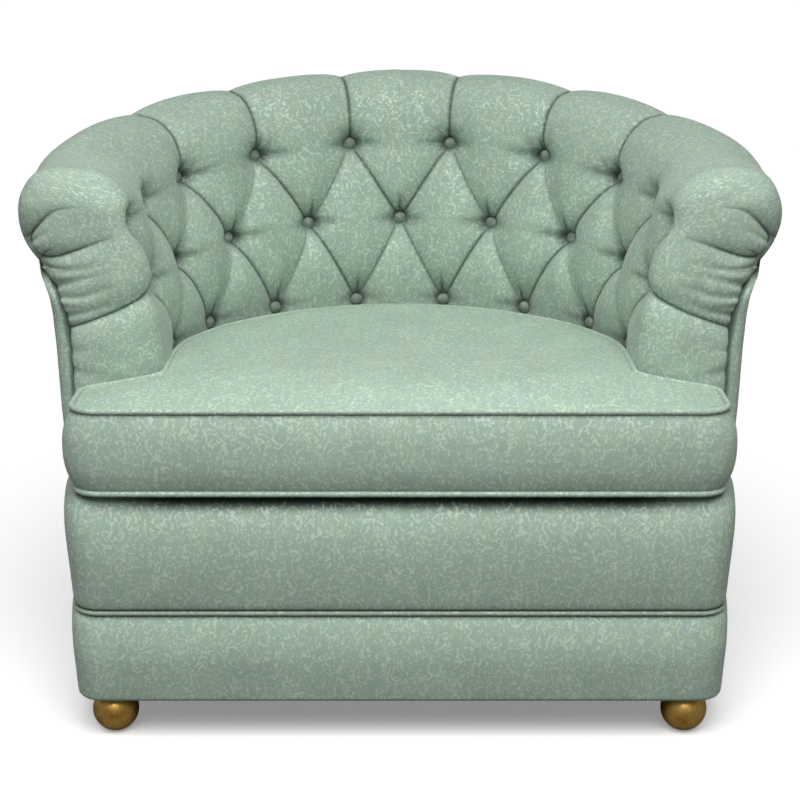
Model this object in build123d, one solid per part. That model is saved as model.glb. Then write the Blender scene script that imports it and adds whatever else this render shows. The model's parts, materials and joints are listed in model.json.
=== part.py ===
from build123d import *
import math
import os

# Tufted barrel-back club chair: a hardwood frame, sinuous seat springs, a
# button-tufted half-round back that rolls over its top rail, a loose
# T-cushion on a sprung deck, two upholstered base bands and brass ball feet.
# Millimetres, +Z up, front towards -Y, origin on the floor under the middle
# of the chair's bounding box.

# Plan: radii are from the barrel's upright axis
ROLL_OUTER_R = 460.0  # outside of the top roll
ROLL_OVERHANG = 23.0  # the roll stands out past the tuck of its cover
TUCK_R = ROLL_OUTER_R - ROLL_OVERHANG
BODY_TAPER = 21.0  # the body draws in from that tuck down to the base
BODY_R = TUCK_R - BODY_TAPER  # outside of the body at the base
SIDE_BOW = 24.0  # the sides draw in from the barrel to the front corners
FRONT_WIDTH = 2 * (BODY_R - SIDE_BOW)  # corner to corner before rounding
SEAT_RUN = 229.0  # seat front to the barrel's axis
CORNER_R = 36.0  # rounding of the body's front corners
ARM_SIDE_INSET = 13.0  # padding of the arm fronts inside the outside cover
ARM_FRONT_RUN = 118.0  # seat front to the seam of the outside cover
PUFF_FRONT_RUN = 110.0  # seat front to the foremost padding of the arms

# Heights
FLOOR_GAP = 57.0  # floor to the underside of the frame
BASE_TOP = 160.0  # top of the base rails
BASE_WELT_Z = 173.0  # welt between the two base bands
SEAT_RAIL_TOP = 284.0  # top of the seat rails, where the springs sit
DECK_TOP = 318.6  # top of the deck pad
BOXING = 101.0  # cushion height, welt to welt
WELT_LIFT = 4.4  # lower welt of the cushion above the deck
CUSHION_BOTTOM_WELT_Z = DECK_TOP + WELT_LIFT
CUSHION_TOP_WELT_Z = CUSHION_BOTTOM_WELT_Z + BOXING
RIM_DROP = 46.0  # how much lower the rim is along the arms
RIM_RUN = 4.1  # columns from the middle of the back to the level part of the arms
RAIL_DROP = 0.74  # share of that drop which the top rail follows

# The outside cover flares as it rises: share of its height, and flare past the body
PANEL_FLARE = [(0.394, 2.0), (0.551, 6.0), (0.7515, 8.5), (0.857, 11.0), (0.939, 15.0)]
PANEL_FOOT_INSET = 4.0  # its foot is drawn in over the base welt
PANEL_HEAD_INSET = 1.0  # its head is tucked in under the roll

# Wood and cloth
RAIL_THICK = 21.0  # hardwood rails
COVER_THICK = 10.0  # padded cover outside the base rails
FRONT_PAD = 12.0  # padding of the upper front band
PANEL_THICK = 4.0  # outside cover with its card lining
BURLAP_THICK = 1.5
FIT = 0.3  # clearance between pieces that rest on each other
SMALL_FIT = 0.1  # clearance of metal in wood and of pins in holes
WELT_R = 3.5  # covered cord on the seams
SKIN = 2.5  # cushion cover with its wrap

# Tufting: columns are counted from the middle of the back
PITCH_DEG = 24.0  # turn from one button to the next in a row
ARM_PITCH = 105.0  # the same along the straight arms
LAST_COLUMN = 4.5
JOIN_COLUMN = 2.5  # where the back's cover is joined to the arms' covers
STEP = 0.25  # columns between the sections of the padding
RAIL_COVER = 32.0  # padding outside the top rail
RAIL_WIDTH = 43.0
RAIL_OUTER_R = ROLL_OUTER_R - RAIL_COVER
RAIL_INNER_R = RAIL_OUTER_R - RAIL_WIDTH
TOP_ROW_PAD = 38.0  # padding between the top row's seats and the rail
TOP_ROW_LEAN = 27.0  # top row behind the middle row
MIDDLE_ROW_LEAN = 21.0  # middle row behind the bottom row
TOP_ROW_R = RAIL_INNER_R - TOP_ROW_PAD
MIDDLE_ROW_R = TOP_ROW_R - TOP_ROW_LEAN
BOTTOM_ROW_R = MIDDLE_ROW_R - MIDDLE_ROW_LEAN
ROW_RADIUS = {1: BOTTOM_ROW_R, 2: MIDDLE_ROW_R, 3: TOP_ROW_R}  # button seats
ROW_RISE = 113.0  # bottom row to middle row
TOP_ROW_RISE = 104.0  # middle row to top row
BOTTOM_ROW_CLEAR = 14.0  # bottom row above the cushion's top welt
BOTTOM_ROW_Z = CUSHION_TOP_WELT_Z + BOTTOM_ROW_CLEAR
MIDDLE_ROW_Z = BOTTOM_ROW_Z + ROW_RISE
TOP_ROW_Z = MIDDLE_ROW_Z + TOP_ROW_RISE
ROW_HEIGHT = {1: BOTTOM_ROW_Z, 2: MIDDLE_ROW_Z, 3: TOP_ROW_Z}
KNOT_CLEAR = 13.0  # top row under the top rail, for the knots of its twines
RAIL_BOTTOM = TOP_ROW_Z + KNOT_CLEAR  # underside of the top rail at the back
RAIL_HEIGHT = 44.0
ROLL_COVER = 39.0  # padding over the top rail
ROLL_TOP = RAIL_BOTTOM + RAIL_HEIGHT + ROLL_COVER
ROLL_DROP = 139.0  # top of the roll to the tuck of its cover
ROLL_SHOULDER = (-12.0, -28.0)  # inner shoulder, from the top row's seats and the roll's top
ROLL_CREST = 58.0  # top of the roll behind the top row's seats
ROLL_OUTER_SHOULDER = (-19.0, -18.0)  # from the roll's outside and top
ROLL_WIDEST = -65.0  # widest level of the roll, from its top
ROLL_UNDERSIDE = (-11.0, -99.0)  # from the roll's outside and top
TUCK_Z = ROLL_TOP - ROLL_DROP
ROW_DROP = {1: 0.0, 2: 0.4, 3: RAIL_DROP}  # share of the rim's drop
ROW_COLUMNS = {
    1: [-3.5 + i for i in range(8)],
    2: [-4.0 + i for i in range(9)],
    3: [-4.5 + i for i in range(10)],
}
PLEAT_RISE = 20.0  # padding height on a pleat, midway between two buttons
PILLOW_RISE = 14.0  # further height in the middle of a diamond
BOTTOM_ROW_SHARE = 0.42  # of these heights at the bottom row, where the cover is drawn tight
PLEAT_SHARPNESS = 0.6
ROLL_PLEAT_DEPTH = 8.0  # how far the pleats sink into the roll
SHOULDER_SINK = 2.5  # they sink this much more at the inner shoulder, near the buttons
PAD_THICK_LOW = 32.0  # padding behind the bottom row
PAD_BACK_LOW = BOTTOM_ROW_R + PAD_THICK_LOW  # back of the padding at the deck
PAD_LIFT = 3.4  # foot of the padding above the deck
PAD_BOTTOM_Z = DECK_TOP + PAD_LIFT
BUTTON_R = 9.5
BUTTON_HEIGHT = 6.0
POCKET_DEPTH = 2.0  # button back to the deepest point of its pocket
SHANK_R = 2.0
TWINE_R = 1.2
KNOT_R = 6.0
KNOT_THICK = 3.0
KNOT_LEAN = 1.2  # room for the lean of the burlap under a knot

# Cushion
CUSHION_SHY = 6.0  # the cushion stops this far inside the body's front corners
CUSHION_WIDTH = FRONT_WIDTH - 2 * CUSHION_SHY  # front of the cushion, welt to welt
CUSHION_GAP = 30.0  # cushion's back welts to the bottom row's seats
CUSHION_R = BOTTOM_ROW_R - CUSHION_GAP  # half-round back, on its welts
CUSHION_BULGE = 7.0  # boxing stands out past the welts
CUSHION_CROWN = 20.0  # middle of the top above the top welt
WING_RUN = 100.0  # front to back of the cushion's wings
CUSHION_CORNERS = {"front": 32.0, "rear": 18.0, "notch": 14.0}

# Zip in the back of the cushion's boxing
ZIP_HALF_TURN = 62.0  # degrees either side of the middle
ZIP_GROOVE = 5.0
ZIP_HALF_HEIGHT = 6.0
TAPE_THICK = 1.0
CHAIN_THICK = 1.6
CHAIN_HALF_HEIGHT = 2.5
SLIDER_HALF_TURN = 1.3
SLIDER_HALF_HEIGHT = 4.5
SLIDER_THICK = 1.4

# Seat springs
SPRING_X = [-184.0, -92.0, 0.0, 92.0, 184.0]
WIRE_R = 1.9
SPRING_HALF_WIDTH = 24.0
SPRING_PITCH = 24.0
BACK_SEAT_RAIL_THICK = 57.0
BACK_SEAT_RAIL_HEIGHT = 60.0
CLIP = (16.0, 12.0)
CLIP_FLOOR = 1.2  # metal of a clip under the wire
TIE_R = 1.5

# Uprights
UPRIGHT_COLUMNS = {
    "left_side_upright": -3.0,
    "left_back_upright": -1.75,
    "centre_back_upright": 0.0,
    "right_back_upright": 1.75,
    "right_side_upright": 3.0,
}
UPRIGHT_WIDTH = 42.0
UPRIGHT_CLEAR = 11.0  # foot of an upright behind the padding
UPRIGHT_FOOT_R = PAD_BACK_LOW + UPRIGHT_CLEAR
BACK_SEAT_RAIL_R = UPRIGHT_FOOT_R - BACK_SEAT_RAIL_THICK
POST_COLUMN = 4.25
POST_WIDTH = 36.0
ARM_RAIL_COLUMN = 3.0  # where the arm rails are butted to the back rail

# Feet
BALL_R = 28.5
BALL_FLAT = 0.5  # small flat that the ball stands on
FOOT_INSET = 39.0  # front feet in from the body's front corners
FOOT_X = FRONT_WIDTH / 2 - FOOT_INSET
FRONT_FOOT_RUN = 43.0
REAR_FOOT_INSET = 66.0
REAR_FOOT_R = BODY_R - REAR_FOOT_INSET
REAR_FOOT_DEG = 38.0
STUD_R = 4.0
STUD_IN_BALL = 26.0
STUD_IN_BLOCK = 36.0
INSERT_R = 5.5
INSERT_LENGTH = 25.0
BLOCK = (52.0, 52.0, 42.0)
SCREW_R = 2.2
SCREW_BITE = 16.0
SCREW_HEAD_R = 4.2
SCREW_HEAD = 2.6
DOWEL_R = 5.0
DOWEL_LENGTH = 40.0
DUST_THICK = 1.6

# Derived places
TRIM_MARGIN = 150.0  # trimming blocks reach this far past the chair
FAR = ROLL_OUTER_R + TRIM_MARGIN
HIGH = ROLL_TOP + TRIM_MARGIN
DEPTH = SEAT_RUN + ROLL_OUTER_R + CUSHION_BULGE
FRONT_Y = -DEPTH / 2 + CUSHION_BULGE
BARREL_Y = FRONT_Y + SEAT_RUN
HALF_FRONT = FRONT_WIDTH / 2
RAIL_INSET = COVER_THICK + FIT
RAIL_INNER_INSET = RAIL_INSET + RAIL_THICK
STRAIGHT_COLUMN = 90.0 / PITCH_DEG  # the barrel turns into straight arms here
ARM_END_Y = BARREL_Y - (LAST_COLUMN - STRAIGHT_COLUMN) * ARM_PITCH
SPRING_Z = SEAT_RAIL_TOP + CLIP_FLOOR + WIRE_R + SMALL_FIT
CUSHION_BASE_Z = DECK_TOP + FIT

parts = {}


# Small helpers


def line(start, end):
    return Edge.make_line(start, end)


def bow(start, middle, end):
    """An arc through three points, or a line where they are in line."""
    chord = end - start
    off = (middle - start).cross(chord).length / chord.length
    if off < 0.05:
        return line(start, end)
    return Edge.make_three_point_arc(start, middle, end)


def loop(edges):
    return Wire(edges)


def prism(wire, low, high):
    """The inside of a flat wire, from one height to another."""
    face = Face(wire).moved(Location((0, 0, low - wire.center().Z)))
    return Solid.extrude(face, Vector(0, 0, high - low))


def block_between(low, high):
    size = [b - a for a, b in zip(low, high)]
    middle = [(a + b) / 2 for a, b in zip(low, high)]
    return Pos(*middle) * Box(*size)


def rod(start, end, radius):
    """A round rod from one point to another."""
    start, end = Vector(start), Vector(end)
    return Solid.make_cylinder(radius, (end - start).length, Plane(start, z_dir=end - start))


def keep_part(name, shape):
    parts[name] = shape


# Places along the barrel


def station(column):
    """A point on the barrel's axis line, and the outward way, at a tufting column."""
    side = math.copysign(1.0, column)
    if abs(column) <= STRAIGHT_COLUMN:
        turn = math.radians(column * PITCH_DEG)
        return Vector(0, BARREL_Y, 0), Vector(math.sin(turn), math.cos(turn), 0)
    run = (abs(column) - STRAIGHT_COLUMN) * ARM_PITCH
    return Vector(0, BARREL_Y - run, 0), Vector(side, 0, 0)


def on_barrel(column, radius, height):
    foot, outward = station(column)
    return foot + outward * radius + Vector(0, 0, height)


def rim_drop(column):
    share = min(1.0, abs(column) / RIM_RUN)
    return RIM_DROP * (1 - math.cos(math.pi * share)) / 2


def rail_drop(column):
    return RAIL_DROP * rim_drop(column)


def columns_between(first, last):
    count = round((last - first) / STEP)
    return [first + (last - first) * i / count for i in range(count + 1)]


def barrel_loft(first, last, section):
    """A solid through flat sections, each a list of (radius, height), along the barrel."""
    wires = []
    for column in columns_between(first, last):
        points = [on_barrel(column, r, z) for r, z in section(column)]
        wires.append(loop([line(a, b) for a, b in zip(points, points[1:] + points[:1])]))
    return Solid.make_loft(wires, ruled=True)


# Plan outlines


def body_outline(inset, height, radius=BODY_R):
    """The body in plan: straight front, round corners, bowed sides and half-round back."""
    half = HALF_FRONT + radius - BODY_R
    spread = radius - half
    side_r = (spread**2 + SEAT_RUN**2) / (2 * spread)
    hub = Vector(radius - side_r, BARREL_Y, height)
    corner_y = FRONT_Y + CORNER_R
    corner_x = hub.X + math.sqrt((side_r - CORNER_R) ** 2 - (SEAT_RUN - CORNER_R) ** 2)
    corner = Vector(corner_x, corner_y, height)
    out = (corner - hub).normalized()
    middle_way = (out + Vector(0, -1, 0)).normalized()
    side_middle_way = (out + Vector(1, 0, 0)).normalized()
    back = radius - inset
    slant = back * math.sqrt(0.5)
    right = [
        corner + Vector(0, inset - CORNER_R, 0),
        corner + middle_way * (CORNER_R - inset),
        corner + out * (CORNER_R - inset),
        hub + side_middle_way * (side_r - inset),
        Vector(back, BARREL_Y, height),
        Vector(slant, BARREL_Y + slant, height),
    ]
    left = [Vector(-p.X, p.Y, p.Z) for p in right]
    rear = Vector(0, BARREL_Y + back, height)
    return loop(
        [
            line(left[0], right[0]),
            bow(right[0], right[1], right[2]),
            bow(right[2], right[3], right[4]),
            bow(right[4], right[5], rear),
            bow(rear, left[5], left[4]),
            bow(left[4], left[3], left[2]),
            bow(left[2], left[1], left[0]),
        ]
    )


def quarter(corner, into, out_of, radius):
    """A rounded corner of an outline: the arc from one side to the next."""
    start = corner - into * radius
    end = corner + out_of * radius
    centre = corner - into * radius + out_of * radius
    middle = centre - (centre - corner).normalized() * radius
    return start, middle, end


def cushion_outline(front, side, rear, inner, height):
    """The T-cushion in plan, with each side moved in by its own amount."""
    half = CUSHION_WIDTH / 2 - side
    front_y = FRONT_Y + front
    wing_y = FRONT_Y + WING_RUN - rear
    neck = CUSHION_R - inner
    right, back, left = Vector(1, 0, 0), Vector(0, 1, 0), Vector(-1, 0, 0)
    wing = wing_y - front_y
    front_r = min(CUSHION_CORNERS["front"], 0.5 * wing)
    rear_r = min(CUSHION_CORNERS["rear"], 0.35 * wing)
    corners = [
        quarter(Vector(half, front_y, height), right, back, front_r),
        quarter(Vector(half, wing_y, height), back, left, rear_r),
        quarter(Vector(neck, wing_y, height), left, back, CUSHION_CORNERS["notch"]),
    ]
    slant = neck * math.sqrt(0.5)
    hip = Vector(neck, BARREL_Y, height)
    rear_point = Vector(0, BARREL_Y + neck, height)
    shoulder = Vector(slant, BARREL_Y + slant, height)

    def mirrored(point):
        return Vector(-point.X, point.Y, point.Z)

    edges = [line(mirrored(corners[0][0]), corners[0][0])]
    for here, following in zip(corners, corners[1:] + [None]):
        edges.append(bow(*here))
        edges.append(line(here[2], following[0] if following else hip))
    edges.append(bow(hip, shoulder, rear_point))
    edges.append(bow(rear_point, mirrored(shoulder), mirrored(hip)))
    previous = mirrored(hip)
    for here in reversed(corners):
        start, middle, end = (mirrored(p) for p in here)
        edges.append(line(previous, end))
        edges.append(bow(end, middle, start))
        previous = start
    return loop(edges)


# Tufted padding


def pad_rise(column, row):
    """Height of the padding above the button seats, on the diamonds between the buttons."""
    across = abs(math.sin(math.pi * (column + (row - 2) / 2)))
    along = abs(math.sin(math.pi * (column - (row - 2) / 2)))
    a, b = across**PLEAT_SHARPNESS, along**PLEAT_SHARPNESS
    return PLEAT_RISE * (a + b - a * b) + PILLOW_RISE * across * along


def row_share(row):
    """Share of the padding's height that is left at a row: less towards the bottom one."""
    return BOTTOM_ROW_SHARE + (1 - BOTTOM_ROW_SHARE) * min(1.0, row - 1)


def front_pad_rise(column, row):
    """The same, with no button under the middle row in front of the last ones."""
    rise = pad_rise(column, row)
    past = min(1.0, max(0.0, (abs(column) - 4.0) / 0.5))
    full = PLEAT_RISE + PILLOW_RISE
    if row <= 2:
        rise += (full - rise) * past
    return rise * row_share(row)


def seat_radius(row):
    low = min(2, max(1, math.floor(row)))
    share = row - low
    return ROW_RADIUS[low] + (ROW_RADIUS[low + 1] - ROW_RADIUS[low]) * share


def row_height(column, row):
    low = min(2, max(1, math.floor(row)))
    share = row - low
    height = ROW_HEIGHT[low] + (ROW_HEIGHT[low + 1] - ROW_HEIGHT[low]) * share
    drop = ROW_DROP[low] + (ROW_DROP[low + 1] - ROW_DROP[low]) * share
    return height - rim_drop(column) * drop


def pad_point(column, row):
    return seat_radius(row) - front_pad_rise(column, row), row_height(column, row)


def roll_points(column):
    """The roll's inner shoulder, top, outer shoulder, outside, underside and tuck."""
    sunk = ROLL_PLEAT_DEPTH * (1 - abs(math.cos(math.pi * column)) ** PLEAT_SHARPNESS)
    fall = rim_drop(column)
    shoulder_r = TOP_ROW_R + ROLL_SHOULDER[0] + SHOULDER_SINK * sunk
    outer = ROLL_OUTER_R - sunk
    top = ROLL_TOP - fall - sunk
    return [
        (shoulder_r, top + ROLL_SHOULDER[1]),
        (TOP_ROW_R + ROLL_CREST, top),
        (outer + ROLL_OUTER_SHOULDER[0], top + ROLL_OUTER_SHOULDER[1]),
        (outer, top + ROLL_WIDEST),
        (outer + ROLL_UNDERSIDE[0], top + ROLL_UNDERSIDE[1] + sunk),
        (TUCK_R, TUCK_Z - fall),
    ]


def tufted_section(column):
    """One upright slice of the tufted padding, from the deck over the top rail."""
    fall = rail_drop(column)
    rows = [pad_point(column, 1 + i / 2) for i in range(5)]
    shoulder, top, outer_shoulder, outside, under, tuck = roll_points(column)
    rail_top = RAIL_BOTTOM + RAIL_HEIGHT + FIT - fall
    rail_low = RAIL_BOTTOM - FIT - fall
    foot_r = ROW_RADIUS[1] - (PLEAT_RISE + PILLOW_RISE) * BOTTOM_ROW_SHARE
    outline = [(foot_r, PAD_BOTTOM_Z), *rows, shoulder, top, outer_shoulder, outside, under, tuck]
    outline += [
        (RAIL_OUTER_R + FIT, tuck[1]),
        (RAIL_OUTER_R + FIT, rail_top),
        (RAIL_INNER_R - FIT, rail_top),
        (RAIL_INNER_R - FIT, rail_low),
        (PAD_BACK_LOW, PAD_BOTTOM_Z),
    ]
    p = [on_barrel(column, r, z) for r, z in outline]
    edges = [line(p[0], p[1])]
    edges += [bow(p[i], p[i + 1], p[i + 2]) for i in range(1, 11, 2)]
    edges += [line(a, b) for a, b in zip(p[11:], p[12:] + p[:1])]
    return loop(edges)


def tufted_solid(first, last):
    return Solid.make_loft([tufted_section(c) for c in columns_between(first, last)], ruled=True)


def back_line(column, height):
    """Radius of the padding's back at a height: a straight lean from deck to top rail."""
    low = (PAD_BACK_LOW, PAD_BOTTOM_Z)
    high = (RAIL_INNER_R - FIT, RAIL_BOTTOM - FIT - rail_drop(column))
    return low[0] + (high[0] - low[0]) * (height - low[1]) / (high[1] - low[1])


def button_places():
    return [(row, column) for row, columns in ROW_COLUMNS.items() for column in columns]


def button_axis(row, column):
    """The seat of a button, and the way it faces."""
    seat = on_barrel(column, ROW_RADIUS[row] - POCKET_DEPTH, row_height(column, row))
    return seat, station(column)[1] * -1


def knot_seat(row, column):
    """Radius of the burlap's back, where a button's twine is tied off."""
    return back_line(column, row_height(column, row)) + FIT + BURLAP_THICK + KNOT_LEAN


def make_buttons():
    """Covered buttons: a dome on a short shank, one node for each row."""
    for row, name in ((1, "bottom_row_buttons"), (2, "middle_row_buttons"), (3, "top_row_buttons")):
        dome_r = (BUTTON_R**2 + BUTTON_HEIGHT**2) / (2 * BUTTON_HEIGHT)
        solids = []
        for column in ROW_COLUMNS[row]:
            seat, facing = button_axis(row, column)
            place = Plane(seat + facing * FIT, z_dir=facing)
            ball = Solid.make_sphere(dome_r, Plane((0, 0, BUTTON_HEIGHT - dome_r)))
            cap = ball & Solid.make_cylinder(BUTTON_R, BUTTON_HEIGHT)
            shank = Solid.make_cylinder(SHANK_R, POCKET_DEPTH + FIT, Plane((0, 0, -POCKET_DEPTH)))
            solids.append(place.location * (cap + shank))
        keep_part(name, Compound(children=solids))


def make_twines():
    """The twine of every button, through the padding and burlap to its knot."""
    solids = []
    for row, column in button_places():
        seat, facing = button_axis(row, column)
        foot, outward = station(column)
        knot_r = knot_seat(row, column)
        start = seat - facing * (POCKET_DEPTH - FIT)
        tied = foot + outward * knot_r + Vector(0, 0, row_height(column, row))
        string = rod(start, tied + outward * KNOT_THICK, TWINE_R)
        knot = rod(tied, tied + outward * KNOT_THICK, KNOT_R)
        solids.append(string + knot)
    keep_part("button_twines", Compound(children=solids))


def pocket_tools():
    """What the buttons and their twines need cut out of the padding."""
    tools = []
    for row, column in button_places():
        seat, facing = button_axis(row, column)
        reach = PLEAT_RISE + PILLOW_RISE + BUTTON_R
        tools.append(rod(seat, seat + facing * reach, BUTTON_R + FIT))
        tools.append(rod(seat + facing * FIT, seat - facing * (POCKET_DEPTH + FIT), SHANK_R + FIT))
        tools.append(rod(seat, seat - facing * (ROW_RADIUS[row] / 3), TWINE_R + FIT))
        foot, outward = station(column)
        tied = foot + outward * knot_seat(row, column) + Vector(0, 0, row_height(column, row))
        tools.append(rod(tied - outward * FIT, tied + outward * (KNOT_THICK + FIT), KNOT_R + FIT))
    return tools


def make_tufted_padding():
    tools = pocket_tools()
    spans = {
        "tufted_back": (-JOIN_COLUMN, JOIN_COLUMN),
        "left_tufted_arm": (-LAST_COLUMN, -JOIN_COLUMN),
        "right_tufted_arm": (JOIN_COLUMN, LAST_COLUMN),
    }
    for name, (first, last) in spans.items():
        solid = tufted_solid(first, last)
        box = solid.bounding_box()
        near = [t for t in tools if box.overlaps(t.bounding_box())]
        keep_part(name, solid.cut(*near))

    def burlap(column):
        high = RAIL_BOTTOM - FIT - rail_drop(column)
        low_r = back_line(column, SEAT_RAIL_TOP + FIT) + FIT
        high_r = RAIL_INNER_R
        return [
            (low_r, SEAT_RAIL_TOP + FIT),
            (high_r, high),
            (high_r + BURLAP_THICK, high),
            (low_r + BURLAP_THICK, SEAT_RAIL_TOP + FIT),
        ]

    sheet = barrel_loft(-LAST_COLUMN, LAST_COLUMN, burlap)
    holes = []
    for row, column in button_places():
        seat, facing = button_axis(row, column)
        holes.append(rod(seat, seat - facing * (ROW_RADIUS[row] / 3), TWINE_R + FIT))
    keep_part("inside_burlap", sheet.cut(*holes))


def make_arm_fronts():
    """The padded fronts of the arms, drawn in where the two front pleats cross them."""
    fall = rim_drop(LAST_COLUMN)
    inside = {row: pad_point(LAST_COLUMN, row) for row in (1, 2, 3)}
    roll_under = TUCK_Z - fall
    top = ROLL_TOP - fall
    pleat_low = (inside[1][1] + inside[2][1]) / 2 + 18.0

    def outer_side(height):
        """Just inside the outside cover at a height."""
        levels = panel_levels()
        for (low, low_r), (high, high_r) in zip(levels, levels[1:]):
            if height <= high:
                return low_r + (high_r - low_r) * (height - low) / (high - low) - ARM_SIDE_INSET
        return levels[-1][1] - ARM_SIDE_INSET

    # height, inner side, front, outer side, each from the axis or the seat front
    levels = [
        (PAD_BOTTOM_Z, inside[1][0] + 6, 5.0, outer_side(PAD_BOTTOM_Z)),
        (inside[1][1] - 50, inside[1][0] - 1, 1.0, outer_side(inside[1][1] - 50)),
        (inside[1][1] + 20, inside[1][0] + 1, 0.0, outer_side(inside[1][1] + 20)),
        (pleat_low, inside[1][0] + 9, 5.0, outer_side(pleat_low)),
        (pleat_low + 45, inside[2][0] + 12, 0.0, outer_side(pleat_low + 45)),
        (roll_under + 3, inside[2][0] + 18, 3.0, outer_side(roll_under + 3)),
        (top - 99, inside[2][0] + 24, 4.0, ROLL_OUTER_R - 15),
        (top - 65, inside[2][0] + 28, 1.0, ROLL_OUTER_R - 4),
        (top - 30, inside[2][0] + 38, 5.0, ROLL_OUTER_R - 12),
        (top - 10, inside[2][0] + 62, 14.0, ROLL_OUTER_R - 34),
        (top - 1, inside[2][0] + 92, 25.0, ROLL_OUTER_R - 60),
    ]
    for name, sign in (("left_arm_front", -1), ("right_arm_front", 1)):
        wires = []
        for z, inner, recess, outer in levels:
            front = FRONT_Y + PUFF_FRONT_RUN + recess
            depth = ARM_END_Y - front
            turn = depth * 0.95
            sag = turn * (1 - math.sqrt(0.5))
            flat = [
                (inner, ARM_END_Y),
                (inner, front + turn),
                (inner + sag, front + sag),
                (inner + turn, front),
                (outer - turn * 0.6, front),
                (outer - sag * 0.6, front + sag),
                (outer, front + turn),
                (outer, ARM_END_Y),
            ]
            p = [Vector(sign * x, y, z) for x, y in flat]
            wires.append(
                loop(
                    [
                        line(p[0], p[1]),
                        bow(p[1], p[2], p[3]),
                        line(p[3], p[4]),
                        bow(p[4], p[5], p[6]),
                        line(p[6], p[7]),
                        line(p[7], p[0]),
                    ]
                )
            )
        solid = Solid.make_loft(wires, ruled=True)
        box = solid.bounding_box()
        near = [t for t in pocket_tools() if box.overlaps(t.bounding_box())]
        keep_part(name, solid.cut(*near))


# Frame


def rail_section(column):
    low = RAIL_BOTTOM - rail_drop(column)
    high = low + RAIL_HEIGHT
    return [
        (RAIL_INNER_R, low),
        (RAIL_OUTER_R, low),
        (RAIL_OUTER_R, high),
        (RAIL_INNER_R, high),
    ]


def make_top_rails():
    spans = {
        "left_arm_rail": (-LAST_COLUMN, -ARM_RAIL_COLUMN),
        "back_top_rail": (-ARM_RAIL_COLUMN, ARM_RAIL_COLUMN),
        "right_arm_rail": (ARM_RAIL_COLUMN, LAST_COLUMN),
    }
    for name, (first, last) in spans.items():
        keep_part(name, barrel_loft(first, last, rail_section))


def upright(column, width, low):
    """A stave that stands on the rails and leans out with the padding to the top rail."""
    foot_r, head_r = UPRIGHT_FOOT_R, RAIL_INNER_R + FIT + BURLAP_THICK + 2
    outer_low, outer_high = BODY_R - RAIL_INSET - 1, RAIL_OUTER_R - 7
    rail_low = RAIL_BOTTOM - rail_drop(column)
    head = rail_low + RAIL_HEIGHT
    profile = [
        (foot_r, low),
        (foot_r, SEAT_RAIL_TOP),
        (head_r, rail_low),
        (head_r, head),
        (outer_high, head),
        (outer_low, SEAT_RAIL_TOP),
        (outer_low, low),
    ]
    p = [on_barrel(column, r, z) for r, z in dict.fromkeys(profile)]
    wire = loop([line(a, b) for a, b in zip(p, p[1:] + p[:1])])
    across = station(column)[1].cross(Vector(0, 0, 1))
    face = Face(wire).moved(Location(across * (-width / 2)))
    stave = Solid.extrude(face, across * width)
    first = max(-LAST_COLUMN, math.floor(column) - 1)
    last = min(LAST_COLUMN, math.ceil(column) + 1)

    def above(c):
        low_edge = RAIL_BOTTOM - rail_drop(c)
        return [(BACK_SEAT_RAIL_R, low_edge), (FAR, low_edge), (FAR, HIGH), (BACK_SEAT_RAIL_R, HIGH)]

    return stave - barrel_loft(first, last, above)


def make_uprights():
    for name, column in UPRIGHT_COLUMNS.items():
        keep_part(name, upright(column, UPRIGHT_WIDTH, BASE_TOP))
    for name, sign in (("left_arm_post", -1), ("right_arm_post", 1)):
        keep_part(name, upright(sign * POST_COLUMN, POST_WIDTH, SEAT_RAIL_TOP))


def rail_ring(low, high):
    outer = prism(body_outline(RAIL_INSET, low), low, high)
    return outer - prism(body_outline(RAIL_INNER_INSET, low), low, high)


def half_space(y_low, y_high, x_low=-FAR, x_high=FAR):
    return block_between((x_low, y_low, 0), (x_high, y_high, HIGH))


def make_rails():
    """Base rails and, stacked on their front and sides, the seat rails."""
    front_end = FRONT_Y + RAIL_INNER_INSET
    side_end = BARREL_Y
    rear_end = BARREL_Y + FAR
    dowels = dowel_rods(FIT * 0)
    drilled = dowel_rods(SMALL_FIT)
    for level, low, high in (("base", FLOOR_GAP, BASE_TOP), ("seat", BASE_TOP, SEAT_RAIL_TOP)):
        ring = rail_ring(low, high)
        pieces = {
            f"front_{level}_rail": half_space(FRONT_Y, front_end),
            f"left_{level}_rail": half_space(front_end, side_end, x_high=0),
            f"right_{level}_rail": half_space(front_end, side_end, x_low=0),
        }
        if level == "base":
            pieces["back_base_rail"] = half_space(side_end, rear_end)
        for name, room in pieces.items():
            keep_part(name, (ring & room).solid().cut(*drilled, *screw_rods(SMALL_FIT)))
    keep_part("frame_dowels", Compound(children=dowels))
    low = SEAT_RAIL_TOP - BACK_SEAT_RAIL_HEIGHT
    ring = Solid.make_cylinder(UPRIGHT_FOOT_R - FIT, BACK_SEAT_RAIL_HEIGHT, Plane((0, BARREL_Y, low)))
    ring -= Solid.make_cylinder(BACK_SEAT_RAIL_R, BACK_SEAT_RAIL_HEIGHT, Plane((0, BARREL_Y, low)))
    keep_part("back_seat_rail", (ring & half_space(BARREL_Y, rear_end)).solid())


def dowel_rods(clearance):
    """Dowels that pin the stacked rails, and the side rails to the back rail."""
    rods = []
    half = DOWEL_LENGTH / 2
    middle = RAIL_INSET + RAIL_THICK / 2
    front = FRONT_Y + middle
    for x in (-250.0, 0.0, 250.0):
        rods.append(rod((x, front, BASE_TOP - half), (x, front, BASE_TOP + half), DOWEL_R + clearance))
    side_x = BODY_R - middle
    height = (FLOOR_GAP + BASE_TOP) / 2
    for sign in (-1, 1):
        for z in (height - 25, height + 25):
            start = Vector(sign * side_x, BARREL_Y - half, z)
            rods.append(rod(start, start + Vector(0, DOWEL_LENGTH, 0), DOWEL_R + clearance))
    return rods


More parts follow.
